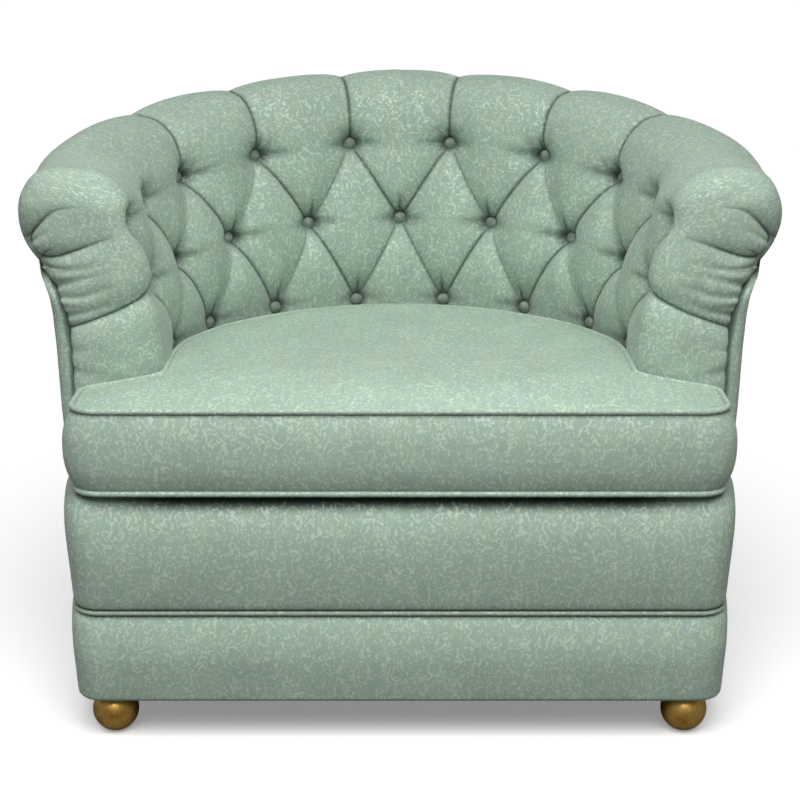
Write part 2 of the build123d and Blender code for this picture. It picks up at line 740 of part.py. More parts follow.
# Feet and the blocks that carry them


def foot_places():
    """Name, centre and outward way of each foot."""
    turn = math.radians(REAR_FOOT_DEG)
    rear_x, rear_y = REAR_FOOT_R * math.sin(turn), BARREL_Y + REAR_FOOT_R * math.cos(turn)
    return {
        "front_left": Vector(-FOOT_X, FRONT_Y + FRONT_FOOT_RUN, 0),
        "front_right": Vector(FOOT_X, FRONT_Y + FRONT_FOOT_RUN, 0),
        "rear_left": Vector(-rear_x, rear_y, 0),
        "rear_right": Vector(rear_x, rear_y, 0),
    }


def block_frame(name, place):
    """The plane of a corner block: its y runs towards the rail that carries it."""
    if name.startswith("front"):
        return Plane((place.X, place.Y, FLOOR_GAP), x_dir=(1, 0, 0), z_dir=(0, 0, 1))
    outward = (place - Vector(0, BARREL_Y, 0)).normalized()
    return Plane((place.X, place.Y, FLOOR_GAP), x_dir=outward.cross(Vector(0, 0, 1)), z_dir=(0, 0, 1))


def screw_lines():
    """Start, way and length of the two screws that hold each block to its rails."""
    lines = []
    wide, deep, tall = BLOCK
    for name, place in foot_places().items():
        height = FLOOR_GAP + tall - 10
        if name.startswith("front"):
            side = math.copysign(1, place.X)
            back = FRONT_Y + RAIL_INNER_INSET + deep
            lines.append((Vector(place.X - side * 18, back, height), Vector(0, -1, 0), deep))
            inner = place.X - side * (wide - 12)
            reach = wide - 12 + 12
            lines.append((Vector(inner, back - 12, height - 14), Vector(side, 0, 0), reach))
            continue
        frame = block_frame(name, place)
        inner_r = BODY_R - RAIL_INNER_INSET - deep
        for shift in (-16.0, 16.0):
            start = Vector(0, BARREL_Y, height) + frame.y_dir * inner_r + frame.x_dir * shift
            lines.append((start, frame.y_dir, deep))
    return lines


def screw_rods(clearance):
    return [
        rod(start, start + way * (length + SCREW_BITE), SCREW_R + clearance)
        for start, way, length in screw_lines()
    ]


def make_feet():
    """Brass balls on threaded studs, in inserts driven into the corner blocks."""
    inside_rails = prism(body_outline(RAIL_INNER_INSET + FIT, FLOOR_GAP), FLOOR_GAP, BASE_TOP)
    wide, deep, tall = BLOCK
    top = FLOOR_GAP - DUST_THICK - 2 * FIT
    studs, inserts = [], []
    for name, place in foot_places().items():
        ball = Solid.make_sphere(BALL_R, Plane((place.X, place.Y, BALL_R - BALL_FLAT)))
        ball &= Solid.make_cylinder(2 * BALL_R, top, Plane((place.X, place.Y, 0)))
        bored = top - STUD_IN_BALL
        ball -= rod((place.X, place.Y, bored), (place.X, place.Y, top + 1), STUD_R + SMALL_FIT)
        keep_part(f"{name}_foot", ball)
        stud_top = FLOOR_GAP + STUD_IN_BLOCK
        studs.append(rod((place.X, place.Y, bored + FIT), (place.X, place.Y, stud_top), STUD_R))
        sleeve = rod((place.X, place.Y, FLOOR_GAP), (place.X, place.Y, FLOOR_GAP + INSERT_LENGTH), INSERT_R)
        bore = rod((place.X, place.Y, 0), (place.X, place.Y, 200), STUD_R + SMALL_FIT)
        inserts.append(sleeve - bore)
        if name.startswith("front"):
            side = math.copysign(1, place.X)
            low_x, high_x = sorted((place.X - side * (wide - 12), place.X + side * 40))
            front = FRONT_Y + RAIL_INNER_INSET
            raw = block_between((low_x, front - 5, FLOOR_GAP), (high_x, front + deep, FLOOR_GAP + tall))
        else:
            frame = block_frame(name, place)
            inner_r = BODY_R - RAIL_INNER_INSET - deep
            middle = Vector(0, BARREL_Y, FLOOR_GAP) + frame.y_dir * (inner_r + deep)
            plane = Plane(middle, x_dir=frame.x_dir, z_dir=(0, 0, 1))
            raw = plane.location * (Pos(0, 0, tall / 2) * Box(wide + 16, 2 * deep, tall))
        seat = rod((place.X, place.Y, 0), (place.X, place.Y, FLOOR_GAP + INSERT_LENGTH), INSERT_R + SMALL_FIT)
        shaped = (raw & inside_rails).solid().cut(bore, seat, *screw_rods(SMALL_FIT))
        keep_part(f"{name}_corner_block", shaped)
    keep_part("foot_studs", Compound(children=studs))
    keep_part("insert_nuts", Compound(children=inserts))
    screws = []
    for start, way, length in screw_lines():
        shaft = rod(start - way * SCREW_HEAD, start + way * (length + SCREW_BITE - 1), SCREW_R)
        head = rod(start - way * (SCREW_HEAD + FIT), start - way * SMALL_FIT, SCREW_HEAD_R)
        screws.append(shaft + head)
    keep_part("corner_block_screws", Compound(children=screws))
    sheet = prism(body_outline(RAIL_INSET + 4, 0), FLOOR_GAP - DUST_THICK - FIT, FLOOR_GAP - FIT)
    for place in foot_places().values():
        sheet -= rod((place.X, place.Y, 0), (place.X, place.Y, 200), STUD_R + SMALL_FIT)
    keep_part("dust_cover", sheet)


# Seat springs and deck


def spring_runs(x):
    """First and last crosswise runs of a spring: from the front rail to the back rail."""
    first = FRONT_Y + RAIL_INSET + RAIL_THICK / 2
    last = BARREL_Y + math.sqrt((BACK_SEAT_RAIL_R + 24) ** 2 - (abs(x) + SPRING_HALF_WIDTH) ** 2)
    count = math.floor((last - first) / SPRING_PITCH)
    return first, (last - first) / count, count


def spring_wire(x):
    """A sinuous wire: crosswise runs joined by half turns."""
    first, pitch, count = spring_runs(x)
    turn = pitch / 2
    reach = SPRING_HALF_WIDTH - turn
    edges = []
    for i in range(count + 1):
        side = 1 if i % 2 == 0 else -1
        y = first + i * pitch
        edges.append(line(Vector(x - side * reach, y, SPRING_Z), Vector(x + side * reach, y, SPRING_Z)))
        if i == count:
            break
        hub = Vector(x + side * reach, y + turn, SPRING_Z)
        slant = turn * math.sqrt(0.5)
        out = Vector(side * turn, 0, 0)
        edges.append(bow(hub + Vector(0, -turn, 0), hub + Vector(side * slant, -slant, 0), hub + out))
        edges.append(bow(hub + out, hub + Vector(side * slant, slant, 0), hub + Vector(0, turn, 0)))
    path = Wire(edges)
    section = Plane(path @ 0, z_dir=path % 0) * Circle(WIRE_R)
    spring = sweep(section, path=path)
    expected = math.pi * WIRE_R**2 * path.length
    print(f"spring at {x:.0f}: volume {spring.volume / expected:.4f} of section times length")
    return spring.solid()


def make_springs():
    springs, clips = [], []
    for x in SPRING_X:
        springs.append(spring_wire(x))
        first, pitch, count = spring_runs(x)
        for y in (first, first + count * pitch):
            wide, deep = CLIP
            raw = block_between(
                (x - wide / 2, y - deep / 2, SEAT_RAIL_TOP),
                (x + wide / 2, y + deep / 2, SPRING_Z + WIRE_R),
            )
            bore = rod((x - wide, y, SPRING_Z), (x + wide, y, SPRING_Z), WIRE_R + SMALL_FIT)
            slot = block_between((x - wide, y - 1, SPRING_Z), (x + wide, y + 1, SPRING_Z + 10))
            clips.append((raw - bore - slot).solid())
    keep_part("seat_springs", Compound(children=springs))
    keep_part("spring_clips", Compound(children=clips))
    ties = []
    tie_z = SPRING_Z - WIRE_R - TIE_R - SMALL_FIT
    reach = SPRING_X[-1] + SPRING_HALF_WIDTH
    for run in (160.0, 300.0):
        ties.append(rod((-reach, FRONT_Y + run, tie_z), (reach, FRONT_Y + run, tie_z), TIE_R))
    keep_part("spring_tie_wires", Compound(children=ties))


def make_deck():
    inset = FRONT_PAD + 2 * FIT
    low = SPRING_Z + WIRE_R + FIT
    sheet = prism(cushion_outline(inset, inset, 2, 0, low), low, low + BURLAP_THICK)
    keep_part("deck_burlap", sheet)
    pad_low = low + BURLAP_THICK + SMALL_FIT
    keep_part("deck_pad", prism(cushion_outline(inset, inset, 2, 0, pad_low), pad_low, DECK_TOP))


# Outside covers and bands


def band(levels, core_inset):
    """A padded band round the body: lofted outside, straight inside."""
    outside = Solid.make_loft([body_outline(inset, z) for z, inset in levels], ruled=True)
    low, high = levels[0][0], levels[-1][0]
    return outside - prism(body_outline(core_inset, low - 1), low - 1, high + 1)


def make_bands():
    """The lower band all round, the upper band in front, and the welt between them."""
    low_levels = [
        (FLOOR_GAP - 1, 8.0),
        (FLOOR_GAP + 3, 2.5),
        (FLOOR_GAP + 14, 0.0),
        (BASE_WELT_Z - 24, -1.0),
        (BASE_WELT_Z - 8, 1.0),
        (BASE_WELT_Z - WELT_R - SMALL_FIT, 5.0),
    ]
    keep_part("base_band", band(low_levels, COVER_THICK))
    low = BASE_WELT_Z + WELT_R + SMALL_FIT
    high_levels = [
        (low, 5.0),
        (low + 8, 2.0),
        (low + 40, -1.0),
        (DECK_TOP - 45, -5.0),
        (DECK_TOP - 18, -3.0),
        (DECK_TOP - 7, 2.0),
        (DECK_TOP - 0.5, 9.0),
    ]
    seam = FRONT_Y + ARM_FRONT_RUN
    keep_part("front_band", (band(high_levels, RAIL_INSET - FIT) & half_space(FRONT_Y - FAR, seam)).solid())
    path = body_outline(WELT_R + 1.5, BASE_WELT_Z)
    section = Plane(path @ 0, z_dir=path % 0) * Circle(WELT_R)
    keep_part("base_welt", sweep(section, path=path).solid())


def panel_levels():
    """Outside radius of the body's cover from the base welt up to the roll."""
    low = BASE_WELT_Z + WELT_R + SMALL_FIT
    high = TUCK_Z - RIM_DROP - FIT
    return [
        (low, BODY_R - PANEL_FOOT_INSET),
        *((low + (high - low) * share, BODY_R + flare) for share, flare in PANEL_FLARE),
        (high, TUCK_R - PANEL_HEAD_INSET),
    ]


def make_outside_cover():
    """The outside cover: a shell from the base welt up to the roll, open at the seat."""
    levels = panel_levels()
    top_z, top_r = levels[-1]
    levels = levels + [(top_z + RIM_DROP + 1, top_r + 1)]
    outside = Solid.make_loft([body_outline(0, z, r) for z, r in levels], ruled=True)
    reach = [(levels[0][0] - 1, levels[0][1]), *levels[1:-1], (levels[-1][0] + 1, levels[-1][1])]
    inside = Solid.make_loft([body_outline(PANEL_THICK, z, r) for z, r in reach], ruled=True)
    seam = FRONT_Y + ARM_FRONT_RUN
    shell = (outside - inside) & half_space(seam + SMALL_FIT, BARREL_Y + FAR)

    def under_roll(column):
        low_edge = TUCK_Z - FIT - rim_drop(column)
        return [(BACK_SEAT_RAIL_R, low_edge), (FAR, low_edge), (FAR, HIGH), (BACK_SEAT_RAIL_R, HIGH)]

    shell -= barrel_loft(-LAST_COLUMN - 1, LAST_COLUMN + 1, under_roll)
    keep_part("outside_cover", shell.solid())


# Cushion


def cushion_loft(skin):
    """The crowned, boxed T-cushion, or its core when drawn in by the cover's thickness."""
    low, high = CUSHION_BASE_Z, CUSHION_TOP_WELT_Z
    middle = (CUSHION_BOTTOM_WELT_Z + high) / 2
    levels = [
        (low + skin, 4, 4, 4, 4),
        (CUSHION_BOTTOM_WELT_Z + 4, 1, 1, 1, 1),
        (middle - 22, 2 - CUSHION_BULGE, 2 - CUSHION_BULGE, 2 - CUSHION_BULGE, 2 - CUSHION_BULGE),
        (middle, -CUSHION_BULGE, -CUSHION_BULGE, -CUSHION_BULGE, -CUSHION_BULGE),
        (middle + 22, 2 - CUSHION_BULGE, 2 - CUSHION_BULGE, 2 - CUSHION_BULGE, 2 - CUSHION_BULGE),
        (high - 1, 2, 2, 2, 2),
        (high + CUSHION_CROWN * 0.5 - skin, 20, 20, 11, 20),
        (high + CUSHION_CROWN * 0.85 - skin, 36, 48, 22, 48),
        (high + CUSHION_CROWN - skin, 46, 78, 32, 78),
    ]
    wires = [
        cushion_outline(front + skin, side + skin, rear + skin, inner + skin, z)
        for z, front, side, rear, inner in levels
    ]
    return Solid.make_loft(wires, ruled=True)


def zip_sector(inner, outer, half_height, half_turn, middle_turn=0.0):
    """A band round the barrel's axis, at the middle height of the boxing."""
    z = (CUSHION_BOTTOM_WELT_Z + CUSHION_TOP_WELT_Z) / 2
    low = Plane((0, BARREL_Y, z - half_height))
    ring = Solid.make_cylinder(outer, 2 * half_height, low) - Solid.make_cylinder(inner, 2 * half_height, low)
    turns = [math.radians(90 - middle_turn + s * half_turn) for s in (1, -1)]
    middle = math.radians(90 - middle_turn)
    hub = Vector(0, BARREL_Y, z - 50)
    p = [
        hub,
        *(hub + Vector(math.cos(t), math.sin(t), 0) * FAR for t in (turns[0], middle, turns[1])),
    ]
    wedge = Solid.extrude(Face(loop([line(a, b) for a, b in zip(p, p[1:] + p[:1])])), Vector(0, 0, 100))
    return (ring & wedge).solid()


def make_cushion():
    boxing = CUSHION_R + CUSHION_BULGE
    groove = zip_sector(boxing - ZIP_GROOVE, boxing + 20, ZIP_HALF_HEIGHT + FIT, ZIP_HALF_TURN + 2)
    deep = ZIP_GROOVE + SKIN
    core_groove = zip_sector(boxing - deep, boxing + 20, ZIP_HALF_HEIGHT + SKIN, ZIP_HALF_TURN + 4)
    core = (cushion_loft(SKIN) - core_groove).solid()
    keep_part("cushion_core", core)
    welts = {}
    for name, z in (("cushion_bottom_welt", CUSHION_BOTTOM_WELT_Z), ("cushion_top_welt", CUSHION_TOP_WELT_Z)):
        path = cushion_outline(0, 0, 0, 0, z)
        section = Plane(path @ 0, z_dir=path % 0) * Circle(WELT_R)
        welts[name] = sweep(section, path=path).solid()
        keep_part(name, welts[name])
    cover = cushion_loft(0.0) - core - groove
    keep_part("cushion_cover", cover.cut(*welts.values()).solid())
    tape_low = boxing - ZIP_GROOVE + SMALL_FIT
    tape = zip_sector(tape_low, tape_low + TAPE_THICK, ZIP_HALF_HEIGHT, ZIP_HALF_TURN)
    chain = zip_sector(tape_low, tape_low + TAPE_THICK + CHAIN_THICK, CHAIN_HALF_HEIGHT, ZIP_HALF_TURN)
    keep_part("zip", (tape + chain).solid())
    ride = tape_low + TAPE_THICK + CHAIN_THICK + SMALL_FIT
    start = ZIP_HALF_TURN - 2 * SLIDER_HALF_TURN
    slider = zip_sector(ride, ride + SLIDER_THICK, SLIDER_HALF_HEIGHT, SLIDER_HALF_TURN, start)
    keep_part("zip_slider", slider)


def main():
    make_tufted_padding()
    make_arm_fronts()
    make_buttons()
    make_twines()
    make_top_rails()
    make_uprights()
    make_rails()
    make_feet()
    make_springs()
    make_deck()
    make_bands()
    make_outside_cover()
    make_cushion()
    os.makedirs("parts", exist_ok=True)
    for name, shape in parts.items():
        export_step(shape, f"parts/{name}.step")
    print(len(parts), "nodes")


main()
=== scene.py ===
import json
import math

import bpy
import numpy as np
from bpy.props import FloatProperty, FloatVectorProperty, PointerProperty
from bpy.types import Operator, Panel, PropertyGroup
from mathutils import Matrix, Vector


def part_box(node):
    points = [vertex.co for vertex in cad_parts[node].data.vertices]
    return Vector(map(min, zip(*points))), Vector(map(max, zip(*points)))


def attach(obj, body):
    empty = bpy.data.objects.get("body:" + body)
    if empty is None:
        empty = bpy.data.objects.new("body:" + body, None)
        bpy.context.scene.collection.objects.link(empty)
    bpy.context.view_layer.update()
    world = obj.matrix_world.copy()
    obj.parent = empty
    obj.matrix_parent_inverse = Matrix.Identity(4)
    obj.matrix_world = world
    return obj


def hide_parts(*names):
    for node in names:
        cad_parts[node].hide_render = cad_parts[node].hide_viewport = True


bl_info = {
    "name": "Tufted Club Chair",
    "version": (1, 0, 0),
    "blender": (4, 5, 0),
    "location": "View3D > Sidebar > Chair",
    "description": "Upholsters a barrel-back club chair over its packed frame",
    "category": "Object",
}

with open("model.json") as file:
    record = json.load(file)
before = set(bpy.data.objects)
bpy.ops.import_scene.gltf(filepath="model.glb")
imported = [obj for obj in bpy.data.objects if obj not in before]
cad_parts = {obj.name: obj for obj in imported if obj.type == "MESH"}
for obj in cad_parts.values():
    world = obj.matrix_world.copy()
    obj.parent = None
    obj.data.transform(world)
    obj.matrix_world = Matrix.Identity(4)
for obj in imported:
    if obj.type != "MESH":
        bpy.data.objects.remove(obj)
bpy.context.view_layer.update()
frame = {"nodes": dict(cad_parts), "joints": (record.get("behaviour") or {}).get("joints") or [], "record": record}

MM = 0.001

# Plan: the barrel's upright axis, from the frame, and what lies round it
BARREL_Y = next(j for j in frame["joints"] if j["name"] == "zip_run")["pos_m"][1]
SEAT_RUN = 229 * MM
FRONT_Y = BARREL_Y - SEAT_RUN
BODY_R = 416 * MM
SIDE_BOW = 24 * MM
CORNER_R = 36 * MM
SEAM_RUN = 118 * MM  # seat front to the seam of the outside cover
ARM_FACE_RUN = 110 * MM  # seat front to the foremost padding of the arms

# Heights
BASE_WELT_Z = 169.5 * MM
DECK_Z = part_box("deck_pad")[1].z
CUSHION_LOW_WELT_Z = 323 * MM
CUSHION_TOP_WELT_Z = 424 * MM
RIM_DROP = 46 * MM
RIM_RUN = 4.1  # columns from the middle of the back to where the rim is lowest

# Tufting: columns are counted from the middle of the back, rows from the seat
PITCH = math.radians(24)
ARM_PITCH = 105 * MM
STRAIGHT_COLUMN = 3.75
LAST_COLUMN = 4.5
COLUMN_CELLS = 80
ROW_COLUMNS = {row: [i - 3 - row / 2 for i in range(7 + row)] for row in (1, 2, 3)}
ROW_R = {1: 299 * MM, 2: 320 * MM, 3: 347 * MM}
ROW_Z = {1: 438 * MM, 2: 551 * MM, 3: 655 * MM}
ROW_DROP = {1: 0.0, 2: 0.4, 3: 0.74}
# The cover laid flat, in millimetres: width of a column, and height of each row above the first
FLAT_COLUMN = 125.0
FLAT_ROW = {1: 0.0, 2: 115.0, 3: 222.0}
FLAT_END = LAST_COLUMN * FLAT_COLUMN

# Full height of the pillows over the seat and the roll: radius, height, share of the rim's
# drop, height in the flat cover, and cells up from the line before
INNER_PROFILE = [
    (287, 322, 0.00, -116, 0),
    (286, 380, 0.00, -58, 12),
    (285, 438, 0.00, 0, 12),
    (280.5, 495, 0.20, 57.5, 20),
    (287, 551, 0.40, 115, 20),
    (299, 603, 0.57, 168.5, 20),
    (313, 655, 0.74, 222, 20),
    (323, 691, 0.86, 259, 14),
    (342, 724, 0.95, 297, 14),
    (371, 745, 0.99, 333, 14),
    (406, 751, 1.00, 369, 14),
]
FLAT_APEX = INNER_PROFILE[-1][3]
# Share of the full depth of creases and buttons, by height in the flat cover
DEPTH_SHARE = [(0, 0.42), (57.5, 0.82), (115, 0.93), (222, 0.96)]
# How much wider apart the arms stand at their front ends, by height in the flat cover
ARM_SPREAD = [(-116, 3), (0, 3), (57.5, 12), (115, 13), (168.5, 5), (222, 0)]
SPREAD_COLUMNS = (3.4, 4.4)  # where the arms start to spread, and where they stand full apart
OUTER_PROFILE = [(371, 745), (406, 751), (440, 737), (456, 708), (461, 676), (454, 642), (434, 612)]
ROLL_TUCK = [(426, 604), (416, 598)]
ROLL_MIDDLE_Z = 676 * MM
ROLL_END_FLAT = 0.215  # share of the roll's height over its middle that is lost at the arms' ends
ROLL_END_COLUMNS = (2.9, 4.5)

# The outside cover: height and radius of the body's shell
PANEL_PROFILE = [
    (174, 410), (190, 413), (330, 418), (391, 422), (469, 424.5), (510, 427), (542, 431), (612, 437)
]
PANEL_TOP_Z = 612 * MM + 24 * MM  # its head, up inside the roll
PANEL_FLARE = 7 * MM  # it flares just under the roll
PANEL_FLARE_RUN = (-64 * MM, -28 * MM)  # between these levels under its head
PANEL_TURN_IN = 18 * MM  # then its head turns in under the roll
PANEL_TURN_RUN = 12 * MM
LIP_R = 16 * MM  # its front edge rounds in over this run
LIP_GAP = 0.8 * MM  # and stops short of the seam by this
LIP_IN = np.array([2.5, 8]) * MM  # then it goes in behind the arm front, this far in
LIP_BACK = np.array([3, 11]) * MM  # and this far back
# Seam between the outside cover and the arm fronts: height, and place across
SEAM_PROFILE = [(322, 399), (405, 400.5), (469, 402), (511, 407.5), (536, 415), (553, 425), (566, 437)]
SEAM_SLANT = 32 * MM  # the seam runs back by this between two levels
SEAM_SLANT_Z = (528 * MM, 566 * MM)

# Bands round the body: height, and inset from the body's outline
FRONT_BAND = [
    (170.5, 12), (173.5, 5), (183, 1.5), (217, -1), (250, -3.5),
    (274, -5), (293, -4.5), (304, -1.5), (312, 5), (316, 22),
]
FRONT_BAND_CELLS = [4, 4, 8, 16, 10, 8, 4, 4, 4]
BASE_BAND = [
    (53.5, 24), (54, 7), (56.5, 3), (62, 1.5), (88, 0),
    (122, -2), (147, -2), (159, 0), (165.5, 4.5), (168.5, 11),
]
BASE_BAND_CELLS = [2, 3, 4, 8, 8, 8, 5, 4, 4]
# How much farther in each band is along the front, where the padding draws it round
FRONT_PUFF = [
    (170, 0), (183, -1.5), (212, -4), (240, -4), (264, -1.5), (282, 2), (296, 5.5), (306, 7), (316, 5)
]
BASE_PUFF = [
    (53, 0), (62, -0.5), (83, -2.5), (107, -3.5), (127, -2), (143, 0.8), (155, 3), (163, 3.5), (169, 2)
]

# Seat cushion
CUSHION_HALF = 386 * MM
CUSHION_R = 269 * MM
NECK_HALF = 285 * MM  # between the arms
NECK_RUN = 180 * MM  # seat front to where the neck starts to round in
NECK_TURNS = (64, 84)  # degrees from the back where the round back gives way to the neck
WING_RUN = 100 * MM
WING_CORNER = 32 * MM
WING_REAR_CORNER = 18 * MM
NOTCH_R = 14 * MM
FRONT_RISE = 105 * MM
END_RISE = 150 * MM
REAR_RISE = 60 * MM
REAR_LIFT = 9 * MM
NOTCH_LIFT = 18 * MM
CUSHION_CENTRE = np.array([0.0, FRONT_Y + 52 * MM])
SEAM_LIFT = 0.5 * MM  # the top face and the boxing meet this far over the middle of the top welt
ZIP_TURN = math.radians(64)
ZIP_Z = (CUSHION_LOW_WELT_Z + CUSHION_TOP_WELT_Z) / 2
ZIP_HALF = 6.3 * MM
ZIP_SINK = 5.2 * MM
END_X = (360 * MM, 384 * MM)  # the boxing bulges more between these, round the ends of the wings
REAR_RUN = (80 * MM, 98 * MM)  # seat front to where the boxing turns behind the wings
END_BULGE = 3.5 * MM
REAR_BULGE, NECK_LOSS = 5.5, 4.5  # bulge behind, and what of it is lost at the neck, in millimetres
RIPPLE = 0.35 * MM  # along the edges of the boxing
BOXING_ROWS = 19  # rows of points under the zip, and as many over it
DECK_INSET = 24 * MM  # the lining runs out under the arms and the back
DECK_CROWN = 6 * MM
DECK_DROP = 6.5 * MM  # the lining's edge under the top of the deck pad
DECK_RISE = 40 * MM
UNDER_RISE = 26 * MM

# Cells and points of the meshes
BAND_POINTS, FRONT_BAND_POINTS, DECK_POINTS, CUSHION_POINTS = 561, 321, 241, 481
PANEL_POINTS, PANEL_ROWS, LIP_CELLS = 241, 70, 12
TOP_RINGS, UNDER_RINGS = 52, 20
BUTTON_SEGMENTS, BUTTON_RINGS = 28, 16

# Buttons: how flat their backs are, and how much each is pinched and leans
BUTTON_BACK, BUTTON_PINCH, BUTTON_PINCHES, BUTTON_LEAN = 0.55, 0.012, 9, 0.06
BUTTON_SEAT = 0.5 * MM  # the row's radius to the middle of a button


# Sizes and colours


def length(name, description, default):
    return FloatProperty(name=name, description=description, default=default, unit="LENGTH")


def colour(name, description, default):
    return FloatVectorProperty(name=name, description=description, default=default, subtype="COLOR")


class ChairSizes(PropertyGroup):
    crease_depth: length("Crease depth", "How far a pleat sinks under the pillows", 17 * MM)
    button_depth: length("Button depth", "How much further the buttons pull the cover in", 20 * MM)
    button_reach: length("Button reach", "How far round a button its pull is seen", 24 * MM)
    roll_crease: length("Roll crease", "How far the pleats sink at the top of the roll", 9 * MM)
    wrinkle_depth: length("Wrinkle depth", "Depth of the small gathers at the buttons", 2.2 * MM)
    cushion_crown: length("Cushion crown", "Middle of the cushion above its top welt", 22 * MM)
    boxing_bulge: length("Boxing bulge", "How far the boxing stands out past the welts", 11 * MM)
    welt_radius: length("Welt radius", "Radius of the covered cord on the seams", 3.5 * MM)
    button_radius: length("Button radius", "Radius of a covered button", 9.3 * MM)
    button_height: length("Button height", "Height of a covered button's dome", 7 * MM)
    motif_size: length("Motif size", "Size of a sprig in the woven pattern", 10 * MM)


class ChairColours(PropertyGroup):
    ground: colour("Ground", "Ground weave of the cover", (0.325, 0.435, 0.352))
    motif: colour("Motif", "Raised satin sprigs of the cover", (0.47, 0.6, 0.47))
    # Painted shade: the near-black colour that the cover is mixed towards where shade falls, in pleats, seams and
    # under things
    fold: colour("Fold", "Cover deep in its pleats", (0.018, 0.038, 0.029))
    brass: colour("Brass", "Aged brass of the feet", (1.0, 0.62, 0.17))
    tarnish: colour("Tarnish", "Darkened brass", (0.62, 0.32, 0.05))


# Curves and places


def smooth_line(points, counts):
    """Points on a smooth line through the given ones, with so many cells from each to the next."""
    p = np.array(points, float)
    ends = np.vstack([2 * p[0] - p[1], p, 2 * p[-1] - p[-2]])
    line = [p[:1]]
    for i, count in enumerate(counts):
        a, b, c, d = ends[i : i + 4]
        t = (np.arange(1, count + 1) / count)[:, None]
        bend, twist = 2 * a - 5 * b + 4 * c - d, 3 * b - a - 3 * c + d
        line.append(0.5 * (2 * b + (c - a) * t + bend * t**2 + twist * t**3))
    return np.vstack(line)


def smooth_step(low, high, x):
    t = np.clip((x - low) / (high - low), 0, 1)
    return t * t * (3 - 2 * t)


def on_barrel(column, radius, height):
    """Points at a tufting column, a distance out from the barrel's axis, at a height."""
    turn = np.clip(column, -STRAIGHT_COLUMN, STRAIGHT_COLUMN) * PITCH
    run = np.maximum(np.abs(column) - STRAIGHT_COLUMN, 0) * ARM_PITCH
    x = np.sin(turn) * radius
    y = BARREL_Y - run + np.cos(turn) * radius
    return np.stack(np.broadcast_arrays(x, y, height), axis=-1)


def rim_drop(column):
    share = np.minimum(1.0, np.abs(column) / RIM_RUN)
    return RIM_DROP * (1 - np.cos(np.pi * share)) / 2


def arc_lengths(points):
    steps = np.linalg.norm(np.diff(points, axis=0), axis=1)
    return np.concatenate([[0.0], np.cumsum(steps)])


def resampled(points, count):
    """A line of points, spaced evenly."""
    run = arc_lengths(points)
    at = np.linspace(0, run[-1], count)
    return np.stack([np.interp(at, run, points[:, k]) for k in range(points.shape[1])], axis=1)


def corner(centre, radius, start, end, count=12):
    turns = np.radians(np.linspace(start, end, count))
    return np.stack([centre[0] + radius * np.cos(turns), centre[1] + radius * np.sin(turns)], axis=1)


def mirrored_loop(right):
    """A closed outline from its right half, which runs from the front middle to the back middle."""
    left = right[::-1] * np.array([-1, 1])
    return np.vstack([right, left[1:]])


def body_half():
    """Right half of the body's outline: front, rounded corner, bowed side and half-round back."""
    side_r = (SIDE_BOW**2 + SEAT_RUN**2) / (2 * SIDE_BOW)
    hub = np.array([BODY_R - side_r, BARREL_Y])
    corner_y = FRONT_Y + CORNER_R
    corner_x = hub[0] + math.sqrt((side_r - CORNER_R) ** 2 - (SEAT_RUN - CORNER_R) ** 2)
    lean = math.degrees(math.atan2(corner_y - hub[1], corner_x - hub[0]))
    front = np.stack([np.linspace(0, corner_x, 40), np.full(40, FRONT_Y)], axis=1)
    arcs = [
        corner((corner_x, corner_y), CORNER_R, -90, lean, 16),
        corner(hub, side_r, lean, 0, 24),
        corner((0, BARREL_Y), BODY_R, 0, 90, 70),
    ]
    return np.vstack([front] + [arc[1:] for arc in arcs])


def body_loop(count):
    loop = resampled(mirrored_loop(body_half()), count)
    return loop, outward_ways(loop)


def cushion_half():
    """Right half of the T-cushion's outline at its welts."""
    wing_y = FRONT_Y + WING_RUN
    parts = [
        np.array([(0, FRONT_Y), (CUSHION_HALF - WING_CORNER, FRONT_Y)]),
        corner((CUSHION_HALF - WING_CORNER, FRONT_Y + WING_CORNER), WING_CORNER, -90, 0),
        corner((CUSHION_HALF - WING_REAR_CORNER, wing_y - WING_REAR_CORNER), WING_REAR_CORNER, 0, 90),
        corner((NECK_HALF + NOTCH_R, wing_y + NOTCH_R), NOTCH_R, 270, 180),
        cushion_back(),
    ]
    return np.vstack(parts)


def cushion_back():
    """Right half of the cushion's back: round behind, and wider towards the neck between the arms."""
    turn = np.radians(np.linspace(0, 90, 60))
    depth = SEAT_RUN + CUSHION_R - NECK_RUN
    wide = np.stack([NECK_HALF * np.cos(turn), FRONT_Y + NECK_RUN + depth * np.sin(turn)], axis=1)
    way = wide - np.array([0.0, BARREL_Y])
    away = np.linalg.norm(way, axis=1)[:, None]
    behind = np.degrees(np.arctan2(way[:, 0], way[:, 1]))
    share = smooth_step(*NECK_TURNS, behind)[:, None]
    return np.array([0.0, BARREL_Y]) + way / away * (CUSHION_R + (away - CUSHION_R) * share)


def outward_ways(loop):
    """Unit outward ways of a closed outline that runs left to right along its front."""
    ahead = np.roll(loop, -1, axis=0) - np.roll(loop, 1, axis=0)
    ahead[0] = loop[1] - loop[-2]
    ahead[-1] = ahead[0]
    return right_of(ahead)


def right_of(ahead):
    """Unit ways to the right of some ways ahead, seen from above."""
    ahead = ahead / np.linalg.norm(ahead, axis=1)[:, None]
    return np.stack([ahead[:, 1], -ahead[:, 0]], axis=1)


def paired(first, second):
    """Two values side by side, spread over the same rows and columns."""
    return np.stack(np.broadcast_arrays(first, second), axis=-1)


def raised(flat, heights):
    """Rows of places in plan, each at its height."""
    return np.concatenate([flat, heights[:, :, None]], axis=2)


# Mesh helpers


def values_of(items, name, kind, each=1):
    """A value of all of a mesh's vertices, edges, corners or faces."""
    values = np.empty(each * len(items), kind)
    items.foreach_get(name, values)
    return values


def get_places(piece):
    return values_of(piece.data.vertices, "co", np.float32, 3).reshape(-1, 3).astype(float)


